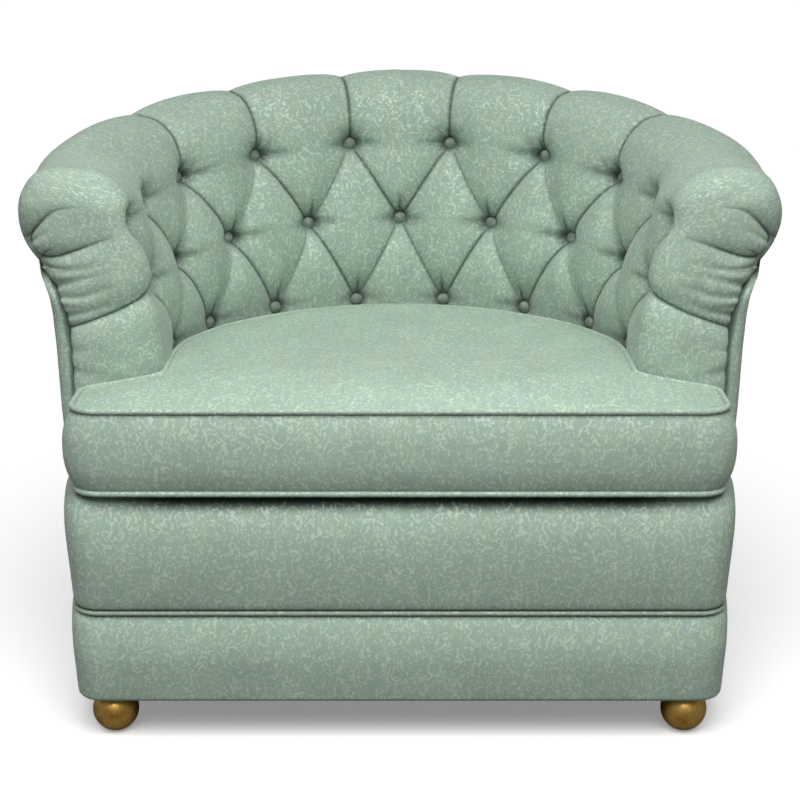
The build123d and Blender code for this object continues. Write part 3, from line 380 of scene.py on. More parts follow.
def set_places(piece, places):
    piece.data.vertices.foreach_set("co", np.ascontiguousarray(places, dtype=np.float32).ravel())
    piece.data.update()


def get_amount(piece, name):
    return values_of(piece.data.attributes[name].data, "value", np.float32).astype(float)


def set_amount(piece, name, values):
    """A named number on each vertex of a piece."""
    layer = piece.data.attributes.get(name) or piece.data.attributes.new(name, "FLOAT", "POINT")
    layer.data.foreach_set("value", np.ascontiguousarray(values, dtype=np.float32))


def lay_cloth(piece, cloth):
    """Gives a piece its cloth map, in metres on the flat cover, from one place per vertex."""
    mesh = piece.data
    for layer in list(mesh.uv_layers):
        mesh.uv_layers.remove(layer)
    uv = mesh.uv_layers.new(name="cloth")
    corner_vertex = values_of(mesh.loops, "vertex_index", np.int32)
    uv.data.foreach_set("uv", np.ascontiguousarray(cloth[corner_vertex], dtype=np.float32).ravel())


def shaped_grid(name, surface, cloth):
    """A grid shaped to rows and columns of points, with their places on the flat cover."""
    up, across = surface.shape[0] - 1, surface.shape[1] - 1
    bpy.ops.object.select_all(action="DESELECT")
    bpy.ops.mesh.primitive_grid_add(x_subdivisions=across, y_subdivisions=up, size=2.0)
    piece = bpy.context.object
    piece.name = name
    piece.data.name = name
    flat = get_places(piece)
    column = np.rint((flat[:, 0] + 1) / 2 * across).astype(int)
    row = np.rint((flat[:, 1] + 1) / 2 * up).astype(int)
    set_places(piece, surface[row, column])
    lay_cloth(piece, cloth[row, column])
    # no painted shade to start with
    set_amount(piece, "fold", np.zeros(len(column)))
    return piece, column, row


def pick(pieces):
    """Selects some pieces and no others, with the first as the active one."""
    bpy.ops.object.select_all(action="DESELECT")
    for piece in pieces:
        piece.select_set(True)
    bpy.context.view_layer.objects.active = pieces[0]


def edit_faces(mesh, picked, work, **settings):
    """Does one piece of edit work on some faces of the active piece."""
    bpy.context.tool_settings.mesh_select_mode = (False, False, True)
    for items in (mesh.vertices, mesh.edges):
        items.foreach_set("select", np.zeros(len(items), bool))
    mesh.polygons.foreach_set("select", picked)
    bpy.ops.object.mode_set(mode="EDIT")
    work(**settings)
    bpy.ops.object.mode_set(mode="OBJECT")


def joined(pieces):
    """Pieces made one, with vertices that meet merged."""
    pick(pieces)
    if len(pieces) > 1:
        bpy.ops.object.join()
    bpy.ops.object.mode_set(mode="EDIT")
    bpy.ops.mesh.select_all(action="SELECT")
    bpy.ops.mesh.remove_doubles(threshold=0.02 * MM)
    bpy.ops.object.mode_set(mode="OBJECT")
    return pieces[0]


def finished(piece, finish, body, nodes):
    """Smooth shading, finish, the body that a piece rides on and the nodes that it stands for."""
    pick([piece])
    bpy.ops.object.shade_smooth()
    piece.data.materials.clear()
    piece.data.materials.append(finish_for(finish))
    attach(piece, body)
    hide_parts(*nodes)


def covered(piece, nodes, body="chair"):
    finished(piece, "sage_brocade", body, nodes)


# Finishes


class NodeTree:
    """A new material, with short ways to add its nodes and fill their sockets."""

    def __init__(self, name):
        self.material = bpy.data.materials.new(name)
        self.material.use_nodes = True
        self.tree = self.material.node_tree
        self.tree.nodes.clear()
        self.colours = bpy.context.scene.chair_colours

    def node(self, kind, **values):
        made = self.tree.nodes.new("ShaderNode" + kind)
        for name, value in values.items():
            setattr(made, name, value)
        return made

    def put(self, target, value):
        """Links a socket, or sets it to a plain value."""
        if isinstance(value, bpy.types.NodeSocket):
            self.tree.links.new(value, target)
        else:
            target.default_value = value

    def put_all(self, made, **values):
        """Fills a node's sockets by their names, with underscores for spaces."""
        for name, value in values.items():
            self.put(made.inputs[name.replace("_", " ")], value)

    def math(self, operation, *values, kind="Math"):
        made = self.node(kind, operation=operation)
        for socket, value in zip(made.inputs, values):
            self.put(socket, value)
        return made.outputs[0]

    def vector(self, operation, *values):
        return self.math(operation, *values, kind="VectorMath")

    def ramp(self, value, low, high, out_low=0.0, out_high=1.0):
        made = self.node("MapRange", interpolation_type="SMOOTHSTEP")
        self.put_all(made, Value=value, From_Min=low, From_Max=high, To_Min=out_low, To_Max=out_high)
        return made.outputs["Result"]

    def mix(self, share, first, second):
        made = self.node("Mix", data_type="RGBA")
        for index, value in ((0, share), (6, first), (7, second)):
            self.put(made.inputs[index], value)
        return made.outputs[2]

    def noise(self, place, size, detail=2.0, rough=0.5, distortion=0.0, dimensions="3D"):
        made = self.node("TexNoise", noise_dimensions=dimensions)
        self.put_all(made, Vector=place, Scale=1 / size, Detail=detail)
        self.put_all(made, Roughness=rough, Distortion=distortion)
        return made.outputs["Fac"]

    def weave(self, size, detail=1.0, rough=0.5):
        """Noise laid in the flat cover."""
        return self.noise(self.cloth(), size, detail, rough, dimensions="2D")

    def cloth(self):
        return self.node("UVMap", uv_map="cloth").outputs["UV"]

    def place(self):
        return self.node("TexCoord").outputs["Object"]

    # Each vertex's share of painted shade
    def fold(self):
        return self.node("Attribute", attribute_name="fold").outputs["Fac"]

    def bump(self, height, strength, distance):
        made = self.node("Bump")
        self.put_all(made, Strength=strength, Distance=distance, Height=height)
        return made.outputs["Normal"]

    def surface(self, **values):
        shader = self.node("BsdfPrincipled")
        self.put_all(shader, **values)
        self.show(shader.outputs[0])

    def show(self, shader):
        self.put_all(self.node("OutputMaterial"), Surface=shader)


def colour4(rgb, share=1.0):
    return (*[share * c for c in rgb], 1.0)


COOL, WARM = (0.97, 0.99, 1.02), (1.03, 1.01, 0.97)  # the ground drifts between these tints
BUTTON_PAINTED_SHADE = 0.5  # the cover on the buttons is painted darker, as shade where they sit deep


def brocade(n):
    """The cover: a sage ground weave with small satin sprigs, darkened by painted shade in its pleats and seams.
    """
    size = bpy.context.scene.chair_sizes.motif_size
    warp = n.weave(1.4 * size).node.outputs["Color"]
    upright = n.vector("MULTIPLY", n.cloth(), (1.1, 0.72, 1))
    drawn = n.vector("MULTIPLY_ADD", warp, (1.6 * size, 1.6 * size, 0), upright)

    def lines(line_size, level, width):
        """Curling lines, where a noise passes a level."""
        wave = n.noise(drawn, line_size, detail=0.0, dimensions="2D")
        return n.ramp(n.math("ABSOLUTE", n.math("SUBTRACT", wave, level)), 0.02, width, 1.0, 0.0)

    stems, curls = lines(size, 0.5, 0.14), lines(0.6 * size, 0.47, 0.15)
    broken = n.ramp(n.weave(0.45 * size), 0.36, 0.56)
    patches = n.weave(2.1 * size)
    here = n.ramp(patches, 0.40, 0.52)
    there = n.ramp(patches, 0.44, 0.60, 1.0, 0.0)
    curled = n.math("MULTIPLY", curls, n.math("MULTIPLY", there, 0.8))
    sprigs = n.math("MAXIMUM", n.math("MULTIPLY", stems, here), curled)
    sprigs = n.math("MULTIPLY", sprigs, broken)
    thread = n.weave(1.1 * MM, detail=2.0, rough=0.7)
    cloud = n.weave(70 * MM, detail=2.0)
    tone = n.math("MULTIPLY_ADD", cloud, 0.2, 0.9)
    grain = n.math("MULTIPLY_ADD", thread, 0.3, 0.85)
    drift = n.ramp(n.weave(26 * MM, detail=3.0, rough=0.6), 0.36, 0.64)
    cool, warm = [colour4([c * k for c, k in zip(n.colours.ground, tint)]) for tint in (COOL, WARM)]
    woven = n.mix(sprigs, n.mix(drift, cool, warm), colour4(n.colours.motif))
    toned = n.node("VectorMath", operation="SCALE")
    n.put(toned.inputs[0], woven)
    n.put(toned.inputs["Scale"], n.math("MULTIPLY", tone, grain))
    height = n.math("ADD", n.math("MULTIPLY", sprigs, 0.6), n.math("MULTIPLY", thread, 0.5))
    n.surface(
        # painted shade: the weave is mixed towards the shade colour by each vertex's share
        Base_Color=n.mix(n.fold(), toned.outputs[0], colour4(n.colours.fold)),
        Roughness=n.ramp(sprigs, 0.0, 1.0, 0.75, 0.42),
        Specular_IOR_Level=n.ramp(sprigs, 0.0, 1.0, 0.2, 0.75),
        Normal=n.bump(height, 0.35, 0.5 * MM),
        Sheen_Weight=0.15,
        Sheen_Roughness=0.5,
    )


def button_cloth(n):
    """The cover drawn tight over the buttons, worn smooth and painted darker as shade."""
    thread = n.weave(1.2 * MM, detail=2.0, rough=0.6)
    sprig = n.ramp(n.weave(6 * MM), 0.5, 0.62)
    woven = n.mix(sprig, colour4(n.colours.ground, BUTTON_PAINTED_SHADE), colour4(n.colours.motif, BUTTON_PAINTED_SHADE))
    n.surface(
        # painted shade: mixed towards the shade colour by each vertex's share
        Base_Color=n.mix(n.fold(), woven, colour4(n.colours.fold)),
        Roughness=n.ramp(thread, 0.3, 0.7, 0.5, 0.65),
        Normal=n.bump(thread, 0.3, 0.4 * MM),
        Sheen_Weight=0.15,
    )


def aged_brass(n):
    """Brass of the feet, with patches of tarnish."""
    place = n.place()
    patina = n.ramp(n.noise(place, 22 * MM, detail=5.0, rough=0.6), 0.42, 0.72)
    specks = n.noise(place, 2.5 * MM, detail=3.0, rough=0.6)
    n.surface(
        Base_Color=n.mix(patina, colour4(n.colours.brass), colour4(n.colours.tarnish)),
        Metallic=1.0,
        Roughness=n.ramp(specks, 0.3, 0.7, 0.3, 0.46),
        Normal=n.bump(specks, 0.08, 0.3 * MM),
    )


def hardwood(n):
    """Wood of the frame, with its grain upright."""
    stretch = n.node("Mapping")
    n.put_all(stretch, Vector=n.place(), Scale=(6.0, 6.0, 0.8))
    grain = n.noise(stretch.outputs[0], 40 * MM, detail=6.0, rough=0.65, distortion=1.2)
    n.surface(
        Base_Color=n.mix(n.ramp(grain, 0.3, 0.7), (0.42, 0.27, 0.14, 1), (0.26, 0.15, 0.07, 1)),
        Roughness=n.ramp(grain, 0.3, 0.7, 0.5, 0.7),
        Normal=n.bump(grain, 0.2, 0.4 * MM),
    )


def plain_cloth(n, light, dark, thread_size):
    """Burlap, lining, twine and tape: a plain weave of coarse or fine threads."""
    place = n.place()
    weave = n.noise(place, thread_size, detail=3.0, rough=0.7)
    cloud = n.noise(place, 60 * MM, detail=2.0)
    both = n.math("ADD", n.math("MULTIPLY", weave, 0.7), n.math("MULTIPLY", cloud, 0.3))
    n.surface(
        Base_Color=n.mix(n.ramp(both, 0.35, 0.65), colour4(dark), colour4(light)),
        Roughness=n.ramp(weave, 0.3, 0.7, 0.8, 0.95),
        Normal=n.bump(weave, 0.5, thread_size / 3),
    )


def worn_steel(n, light, dark):
    wear = n.noise(n.place(), 9 * MM, detail=4.0, rough=0.6)
    n.surface(
        Base_Color=n.mix(n.ramp(wear, 0.35, 0.65), colour4(dark), colour4(light)),
        Metallic=1.0,
        Roughness=n.ramp(wear, 0.3, 0.7, 0.3, 0.5),
        Normal=n.bump(wear, 0.05, 0.2 * MM),
    )


# Maker of each finish, and for the plain ones their light and dark colour and the size of threads
FINISHES = {
    "sage_brocade": (brocade,),
    "button_cloth": (button_cloth,),
    "aged_brass": (aged_brass,),
    "hardwood": (hardwood,),
    "burlap": (plain_cloth, (0.36, 0.25, 0.13), (0.20, 0.13, 0.06), 2.2 * MM),
    "twine": (plain_cloth, (0.62, 0.54, 0.38), (0.40, 0.33, 0.20), 1.0 * MM),
    "padding": (plain_cloth, (0.80, 0.78, 0.72), (0.66, 0.64, 0.58), 4.0 * MM),
    "dust_cloth": (plain_cloth, (0.035, 0.035, 0.037), (0.012, 0.012, 0.014), 1.4 * MM),
    "deck_lining": (plain_cloth, (0.34, 0.42, 0.35), (0.26, 0.33, 0.27), 1.3 * MM),
    "zip_tape": (plain_cloth, (0.27, 0.34, 0.28), (0.20, 0.26, 0.21), 0.8 * MM),
    "spring_steel": (worn_steel, (0.40, 0.40, 0.41), (0.20, 0.20, 0.21)),
    "zip_metal": (worn_steel, (0.55, 0.52, 0.45), (0.35, 0.33, 0.28)),
}


def finish_for(name):
    """A finish by its name, made once."""
    made = bpy.data.materials.get(name + "_finish")
    if made:
        return made
    n = NodeTree(name + "_finish")
    make, *values = FINISHES[name]
    make(n, *values)
    return n.material


# The tufted cover, laid flat: all its lengths are in millimetres


HEM_RUN = 130.0  # the bottom buttons' pleats run down this far
# Pleats that don't lean out as they rise: how crisp they are, by the column that they start from
INWARD_CRISPNESS = [(0.5, 0.8), (1.5, 0.55), (2.5, 0.25), (3.5, 0.1)]
SOFT_FOLD = 9.0  # half width of a softened pleat's round bottom
CRISP_FOLD = 0.02
# Painted shade along a crease: its darkest share, and the width it fades over
FOLD_SHADE = 0.9
CREASE_SHADE_WIDTH = 2.0
NEAREST_POWER = 8.0
ROUNDNESS = 0.93
PILLOW_REACH = 60.0
TUFTS_END = 640.0  # the tufting fades out towards this line on the arm fronts
TUFTS_FADE = 50.0
ROLL_FADE = {3.5: 0.55, 4.5: 0.4}  # the pleats over the roll fade along the arms
ROLL_FADE_RUN = 45.0
ROLL_BACK = [(90, 6.0), (165, 3.0)]  # depth of the roll's pleats, by the run past its top
UNEVEN = 0.6  # slow unevenness of the filling
ARM_START = 450.0  # the arm fronts' own pleats lie past this line

# Pleats of the arm fronts: their line, depth at its start and end, and reach
ARM_PLEATS = [
    ([(500, 115), (545, 118), (574, 117), (597, 111), (618, 101.5), (640, 91), (678, 75),
      (720, 59)], 13, 9, 44),
    ([(612, 207), (637, 198), (650, 193), (678, 181), (698, 174), (722, 170)], 0, 9, 30),
    ([(686, 195), (694, 189), (704, 183), (719, 172)], 0, 5, 12),
    ([(640, 253), (667, 249), (679, 244), (689, 237), (700, 228), (710, 219), (727, 204), (733, 191),
      (728, 179), (719, 171)], 0, 8, 26),
]
# Gathers of the arm fronts: their line, depth at its start, and half width
ARM_GATHERS = [
    ([(714, 155), (692, 155), (662, 160), (628, 171)], 3.4, 6.0),
    ([(714, 127), (690, 136), (660, 146), (636, 153)], 2.8, 5.5),
    ([(714, 116), (674, 117), (647, 126), (622, 136)], 3.6, 6.0),
    ([(714, 83), (673, 93), (622, 111)], 3.8, 6.0),
    ([(714, 100), (686, 100), (664, 104)], 2.6, 5.0),
    ([(736, 190), (712, 203), (688, 218)], 3.0, 4.5),
    ([(738, 199), (716, 210), (702, 220)], 2.0, 3.5),
    ([(720, 30), (690, 34), (655, 41)], 1.8, 7.0),
    ([(722, 8), (690, 2), (655, -6), (635, -8)], 2.8, 7.0),
]
GATHER_GAIN = 1.1
PLEAT_RUN = 1.6  # a pleat has its end depth from 1 / 1.6 of its length on
PLEAT_ROUND = 0.6  # half width of a pleat's bottom
# Painted shade along the arm pleats (darkest share, depth at which it is darkest, width) and along their gathers
# (share for each millimetre of depth, width)
PLEAT_SHADE, PLEAT_SHADE_DEPTH, PLEAT_SHADE_WIDTH = 0.95, 7, 1.9
GATHER_LINE_SHADE, GATHER_LINE_SHADE_WIDTH = 0.08, 2.2

# Shade round a button: its pit, the furrow each way and the fan of gathers above
PIT_ASIDE, PIT_ABOVE = 4, 3  # the pit lies over the button, and aside where the cover leans
PIT_REACH = 14.5
FURROW_SHADE, FURROW_WIDTH = 0.62, 6.5
FAN_SHADE, FAN_RAYS, FAN_MIDDLE, FAN_REACH = 0.6, 13, 12, 22.0
GATHER_SHADE, GATHER_WIDTH = 0.35, 1.7
FURROW_DEPTH, FURROW_HALF, WRINKLE_HALF = 5.0, 8.0, 3.4


def network():
    """Creases on one side of the middle: start, end, and how crisp each is."""
    creases = []
    low, middle, high = FLAT_ROW[1], FLAT_ROW[2], FLAT_ROW[3]
    for count, first, start, end in ((5, 0.5, low, middle), (6, 1.0, middle, high)):
        for step in range(count):
            creases += [((step - first, start), (step - first + side, end)) for side in (-0.5, 0.5)]
    creases += [((step - 0.5, low), (step - 0.5, low - HEM_RUN)) for step in range(5)]
    return [((a * FLAT_COLUMN, b), (c * FLAT_COLUMN, d), crispness(a, c)) for (a, b), (c, d) in creases]


def crispness(low, high):
    """Pleats that lean out as they rise are crisp folds; the others soften along the arms."""
    if abs(high) > abs(low):
        return 1.0
    return float(np.interp(abs(low), *zip(*INWARD_CRISPNESS)))


def to_segment(s, t, start, end):
    """Distance from flat places to a stretch of crease, and how far along it they lie."""
    (a, b), (c, d) = start, end
    along = np.clip(((s - a) * (c - a) + (t - b) * (d - b)) / ((c - a) ** 2 + (d - b) ** 2), 0, 1)
    return np.hypot(s - a - along * (c - a), t - b - along * (d - b)), along


def to_line(s, t, points):
    """Distance from flat places to a line of points, and the share of its length where it is least."""
    points = smooth_line(points, [3] * (len(points) - 1))
    lengths = arc_lengths(points)
    best = np.full(s.shape, np.inf)
    share = np.zeros(s.shape)
    for i in range(len(points) - 1):
        distance, along = to_segment(s, t, points[i], points[i + 1])
        nearer = distance < best
        best = np.where(nearer, distance, best)
        share = np.where(nearer, (lengths[i] + along * (lengths[i + 1] - lengths[i])) / lengths[-1], share)
    return best, share


def pillow_fall(distance, reach):
    """Share of the full depth that the rounded pillows fall by, at a distance from a crease."""
    near = np.clip(1 - distance / reach, 0, 1)
    return (1 - np.sqrt(1 - ROUNDNESS * near**2)) / (1 - math.sqrt(1 - ROUNDNESS))


# Painted shade along a crease, by the distance from it
def crease_line_shade(distance):
    return FOLD_SHADE * np.exp(-((distance / CREASE_SHADE_WIDTH) ** 1.5))


def cover_sink(s, t, side, sizes):
    """How far the cover lies under the pillows' full height, in metres, and its share of painted shade."""
    drawn = np.interp(t, *zip(*DEPTH_SHARE))
    sink, fold = diamonds(s, t, drawn, sizes)
    sink, fold = roll_pleats(s, t, sink, fold, sizes)
    near = s > ARM_START
    pleat, arm_pleat_shade, gather = arm_pleats(s[near], t[near])
    sink[near] = np.maximum(sink[near], pleat) + gather
    fold[near] = np.maximum(fold[near], arm_pleat_shade)
    reach = sizes.button_reach / MM
    for row, columns in ROW_COLUMNS.items():
        for column in [c for c in columns if c > -1]:
            ds, dt = s - column * FLAT_COLUMN, t - FLAT_ROW[row]
            pull = np.exp(-((np.hypot(ds, dt) / reach) ** 1.5))
            sink = sink + drawn * sizes.button_depth / MM * pull
            fold = np.maximum(fold, button_shade(ds, dt, min(column / 2, 1)))
            sink = sink + drawn * wrinkles(ds, dt, row, column, sizes)
    broad = np.sin(s * 0.031 * side + t * 0.017) * np.sin(t * 0.041 + 1.3 * side)
    sink = sink + UNEVEN * (broad + 0.6 * np.sin(s * 0.07 - t * 0.05 + side))
    return sink * MM, np.clip(fold, 0, 1)


def diamonds(s, t, drawn, sizes):
    """The creases between the buttons and under the bottom row, with a painted shade line along each, darker along
    the crisp ones.
    """
    nearest = np.full(s.shape, 1e-40)
    fold = np.zeros(s.shape)
    for start, end, crisp in network():
        distance = to_segment(s, t, start, end)[0]
        nearest += np.hypot(distance, CRISP_FOLD + SOFT_FOLD * (1 - crisp)) ** -NEAREST_POWER
        fold = np.maximum(fold, crisp * crease_line_shade(distance))
    inside = smooth_step(0, TUFTS_FADE, TUFTS_END - s)
    fall = pillow_fall(nearest ** (-1 / NEAREST_POWER), PILLOW_REACH)
    return sizes.crease_depth / MM * drawn * fall * inside, fold * inside


def roll_pleats(s, t, sink, fold, sizes):
    """The pleats that run from the top row over the roll, with a painted shade line along each."""
    top = FLAT_ROW[3]
    levels = [top, FLAT_APEX] + [FLAT_APEX + run for run, depth in ROLL_BACK]
    depths = [sizes.crease_depth / MM, sizes.roll_crease / MM] + [depth for run, depth in ROLL_BACK]
    for step in range(6):
        column = step - 0.5
        distance = np.abs(s - column * FLAT_COLUMN)
        fade = ROLL_FADE.get(column, 1.0)
        if fade < 1:
            fade = fade * np.exp(-np.maximum(t - top, 0) / ROLL_FADE_RUN)
        above = smooth_step(top - 6, top + 6, t) * fade
        sink = np.maximum(sink, np.interp(t, levels, depths) * above * pillow_fall(distance, PILLOW_REACH))
        fold = np.maximum(fold, above * crease_line_shade(distance))
    return sink, fold


def arm_pleats(s, t):
    """Pleats of the arm fronts, the painted shade along them, and the soft gathers between them."""
    pleat, fold, gather = np.zeros(s.shape), np.zeros(s.shape), np.zeros(s.shape)
    for points, first, last, reach in ARM_PLEATS:
        distance, share = to_line(s, t, points)
        depth = first + (last - first) * np.minimum(1, PLEAT_RUN * share)
        pleat = np.maximum(pleat, depth * pillow_fall(np.hypot(distance, PLEAT_ROUND), reach))
        shade = np.minimum(PLEAT_SHADE, depth / PLEAT_SHADE_DEPTH)
        fold = np.maximum(fold, shade * np.exp(-((distance / PLEAT_SHADE_WIDTH) ** 1.6)))
    for points, depth, width in ARM_GATHERS:
        distance, share = to_line(s, t, points)
        gather += GATHER_GAIN * depth * (1 - share) ** 0.8 * np.exp(-((distance / width) ** 2))
        shade = GATHER_LINE_SHADE * depth * (1 - share)
        fold = np.maximum(fold, shade * np.exp(-((distance / GATHER_LINE_SHADE_WIDTH) ** 2)))
    return pleat, fold, gather


def button_shade(ds, dt, lean):
    """How dark the cover is round a button."""
    aside, above = ds + PIT_ASIDE * lean, dt - PIT_ABOVE
    pit = np.exp(-((np.hypot(aside, above) / PIT_REACH) ** 3))
    reach = np.where(aside < 0, 26 + 12 * lean, 24 - 6 * lean)
    slanted = (above + 0.12 * lean * aside) / FURROW_WIDTH
    furrow = FURROW_SHADE * np.exp(-(slanted**2) - (aside / reach) ** 2)
    rays = 0.7 + 0.3 * np.cos(FAN_RAYS * np.arctan2(aside, dt + 4))
    spread = (aside / (8 + 0.3 * np.abs(dt))) ** 2
    fan = FAN_SHADE * rays * np.exp(-(((dt - FAN_MIDDLE) / FAN_REACH) ** 2) - spread)
    upward = smooth_step(0, 10, dt) * smooth_step(52, 24, dt)
    gather = GATHER_SHADE * upward * np.exp(-((aside / GATHER_WIDTH) ** 2))
    return np.maximum(pit, np.maximum(furrow, fan + gather))


def wrinkles(ds, dt, row, column, sizes):
    """Gathers that run out from a button: a soft furrow each way, and fine ones above and below."""
    turn = 7.0 * math.sin(5.1 * column + 2.3 * row)
    fine = sizes.wrinkle_depth / MM
    rays = [
        (2 + turn, 48, FURROW_DEPTH, FURROW_HALF),
        (178 + turn, 48, FURROW_DEPTH, FURROW_HALF),
        (90 + turn, 44, fine, WRINKLE_HALF),
        (74 - turn, 36, 0.8 * fine, WRINKLE_HALF),
        (108 - turn, 34, 0.7 * fine, WRINKLE_HALF),
        (-88 + turn, 26, 0.6 * fine, WRINKLE_HALF),
    ]
    total = np.zeros(ds.shape)
    for degrees, run, depth, width in rays:
        c, k = math.cos(math.radians(degrees)), math.sin(math.radians(degrees))
        along, across = ds * c + dt * k, dt * c - ds * k
        taper = np.clip(1 - along / run, 0, 1) ** 1.3 * smooth_step(0, 8, along)
        total += depth * taper * np.exp(-((across / width) ** 2))
    return total


# The tufted cover, in place


ARM_TURN_CELLS = 80
ARM_SQUARE = 2.6  # how square the arm fronts are, seen from above
ARM_CROWN_Z = 632 * MM  # over this the arm fronts round back to the roll
FAR_EDGE = 1000.0
FLAT_AMOUNTS = ("flat_s", "flat_t", "edge", "sewn")
FINE_START, FINE_LEVELS = 500, (25, 268)  # where the arm fronts have finer faces, in the flat cover
SEAM_PULL, SEAM_PULL_RUN, SEAM_SHADE_RUN = 2.5 * MM, 3.5, 2.2  # the cover sinks to its sewn edge, and is painted with shade along it
EDGE_FADE = 14  # pleats fade out towards an edge that isn't sewn
LEVEL_FADE_UP, LEVEL_FADE_ROUND = 40, 30  # where the pull turns from level to square


def inner_rows():
    counts = [line[4] for line in INNER_PROFILE[1:]]
    return smooth_line([line[:4] for line in INNER_PROFILE], counts)


def outer_rows(inner):
    """Rows from the roll's top to its tuck, level with the inner rows at the arms' ends."""
    line = smooth_line(OUTER_PROFILE, [40] * (len(OUTER_PROFILE) - 1))[40:]
    arm_heights = inner[:, 1] - inner[:, 2] * RIM_DROP / MM
    tuck = OUTER_PROFILE[-1][1] - RIM_DROP / MM
    first = int(np.argmax(arm_heights >= tuck))
    heights = arm_heights[first:-1][::-1] + RIM_DROP / MM
    radii = np.interp(heights, line[::-1, 1], line[::-1, 0])
    return first, np.stack([radii, heights], axis=1)


def roll_flattened(heights, columns):
    """The roll's top comes down over the front ends of the arms."""
    over = np.maximum(heights - ROLL_MIDDLE_Z, 0)
    return heights - over * ROLL_END_FLAT * smooth_step(*ROLL_END_COLUMNS, np.abs(columns))


def tufted_sheet():
    """The cover from the deck over the roll to its tuck, from arm to arm, at the pillows' full height."""
    inner = inner_rows()
    first, outer = outer_rows(inner)
    tucked = np.array(ROLL_TUCK, float)
    radius, height = (np.concatenate([inner[:, k], outer[:, k], tucked[:, k]]) * MM for k in (0, 1))
    share = np.concatenate([inner[:, 2], np.ones(len(outer) + len(tucked))])
    roll = np.vstack([inner[-1:, :2], outer, tucked])
    flat = np.concatenate([inner[:, 3], inner[-1, 3] + arc_lengths(roll)[1:]])
    columns = np.linspace(-LAST_COLUMN, LAST_COLUMN, int(2 * LAST_COLUMN * COLUMN_CELLS) + 1)
    level = roll_flattened(height[:, None], columns) - rim_drop(columns) * share[:, None]
    spread = np.interp(flat, *zip(*ARM_SPREAD)) * (flat <= FLAT_APEX) * MM
    wide = radius[:, None] + spread[:, None] * smooth_step(*SPREAD_COLUMNS, np.abs(columns))
    surface = on_barrel(columns, wide, level)
    s = np.broadcast_to(columns * FLAT_COLUMN, surface.shape[:2])
    t = np.broadcast_to(flat[:, None], surface.shape[:2])
    return surface, s, t, first


def seam_place(heights):
    """Where the seam between the arm front and the outside cover runs, at some heights: across and back."""
    seam = np.array(SEAM_PROFILE) * MM
    across = np.interp(heights, seam[:, 0], seam[:, 1])
    back = FRONT_Y + SEAM_RUN + SEAM_SLANT * smooth_step(*SEAM_SLANT_Z, heights)
    return across, back


def arm_sheet(sheet, t, first, side):
    """The cover round the front of an arm: rows level with the tufted sheet's end, from inside out."""
    inner_count = len(inner_rows())
    end = sheet[:, -1 if side > 0 else 0]
    inside, outer = end[:inner_count], end[inner_count - 1 :]
    heights = inside[:, 2]
    x_in = np.abs(inside[:, 0])
    y_end = inside[0, 1]
    seam_x, seam_y = seam_place(heights)
    over = np.clip(heights - ARM_CROWN_Z, 0, None) / (heights[-1] - ARM_CROWN_Z)
    bulge = (y_end - ARM_FACE_RUN - FRONT_Y) * np.sqrt(np.clip(1 - over**2, 0, 1))
    power = 2 / ARM_SQUARE
    rows, flat_s = [], []
    for i in range(inner_count):
        b = max(bulge[i], 1e-7)
        if i >= first:
            last = math.pi
            half = (abs(outer[inner_count - 1 - i][0]) - x_in[i]) / 2
        else:
            rise = min(1.0, max(0.0, (y_end - seam_y[i]) / b))
            last = math.pi - math.asin(rise ** (1 / power))
            half = (seam_x[i] - x_in[i]) / (1 + abs(math.cos(last)) ** power)
        turn = np.linspace(0, last, ARM_TURN_CELLS + 1)
        c, k = np.cos(turn), np.clip(np.sin(turn), 0, None)
        x = x_in[i] + half - half * np.sign(c) * np.abs(c) ** power
        y = y_end - b * k**power
        rows.append(np.column_stack([side * x, y, np.full(len(x), heights[i])]))
        flat_s.append(FLAT_END + arc_lengths(np.stack([x, y], axis=1)) / MM)
    surface = np.array(rows)
    arm_s = np.array(flat_s)
    arm_t = np.broadcast_to(t[:inner_count, :1], arm_s.shape)
    if side < 0:
        surface, arm_s = surface[:, ::-1], -arm_s[:, ::-1]
    return surface, arm_s, arm_t


def turn_diagonals(piece, column, row):
    """Splits the faces between the button rows along the creases that cross them."""
    mesh = piece.data
    row_1, row_2, row_3 = np.cumsum([line[4] for line in INNER_PROFILE])[[2, 4, 6]]
    for method in ("FIXED", "FIXED_ALTERNATE"):
        sides = values_of(mesh.polygons, "loop_total", np.int32)
        starts = values_of(mesh.polygons, "loop_start", np.int32)
        around = values_of(mesh.loops, "vertex_index", np.int32)
        quads = np.flatnonzero(sides == 4)
        corners = around[starts[quads][:, None] + np.arange(4)]
        low_column, low_row = column[corners].min(axis=1), row[corners].min(axis=1)
        starts_rising = (column[corners[:, 0]] == low_column) == (row[corners[:, 0]] == low_row)
        even = (low_column // (COLUMN_CELLS // 2)) % 2 == 0
        rising = even == (low_row < row_2)
        chosen = (low_row >= row_1) & (low_row < row_3) & ((rising == starts_rising) == (method == "FIXED"))
        picked = np.zeros(len(mesh.polygons), bool)
        picked[quads[chosen]] = True
        edit_faces(mesh, picked, bpy.ops.mesh.quads_convert_to_tris, quad_method=method)


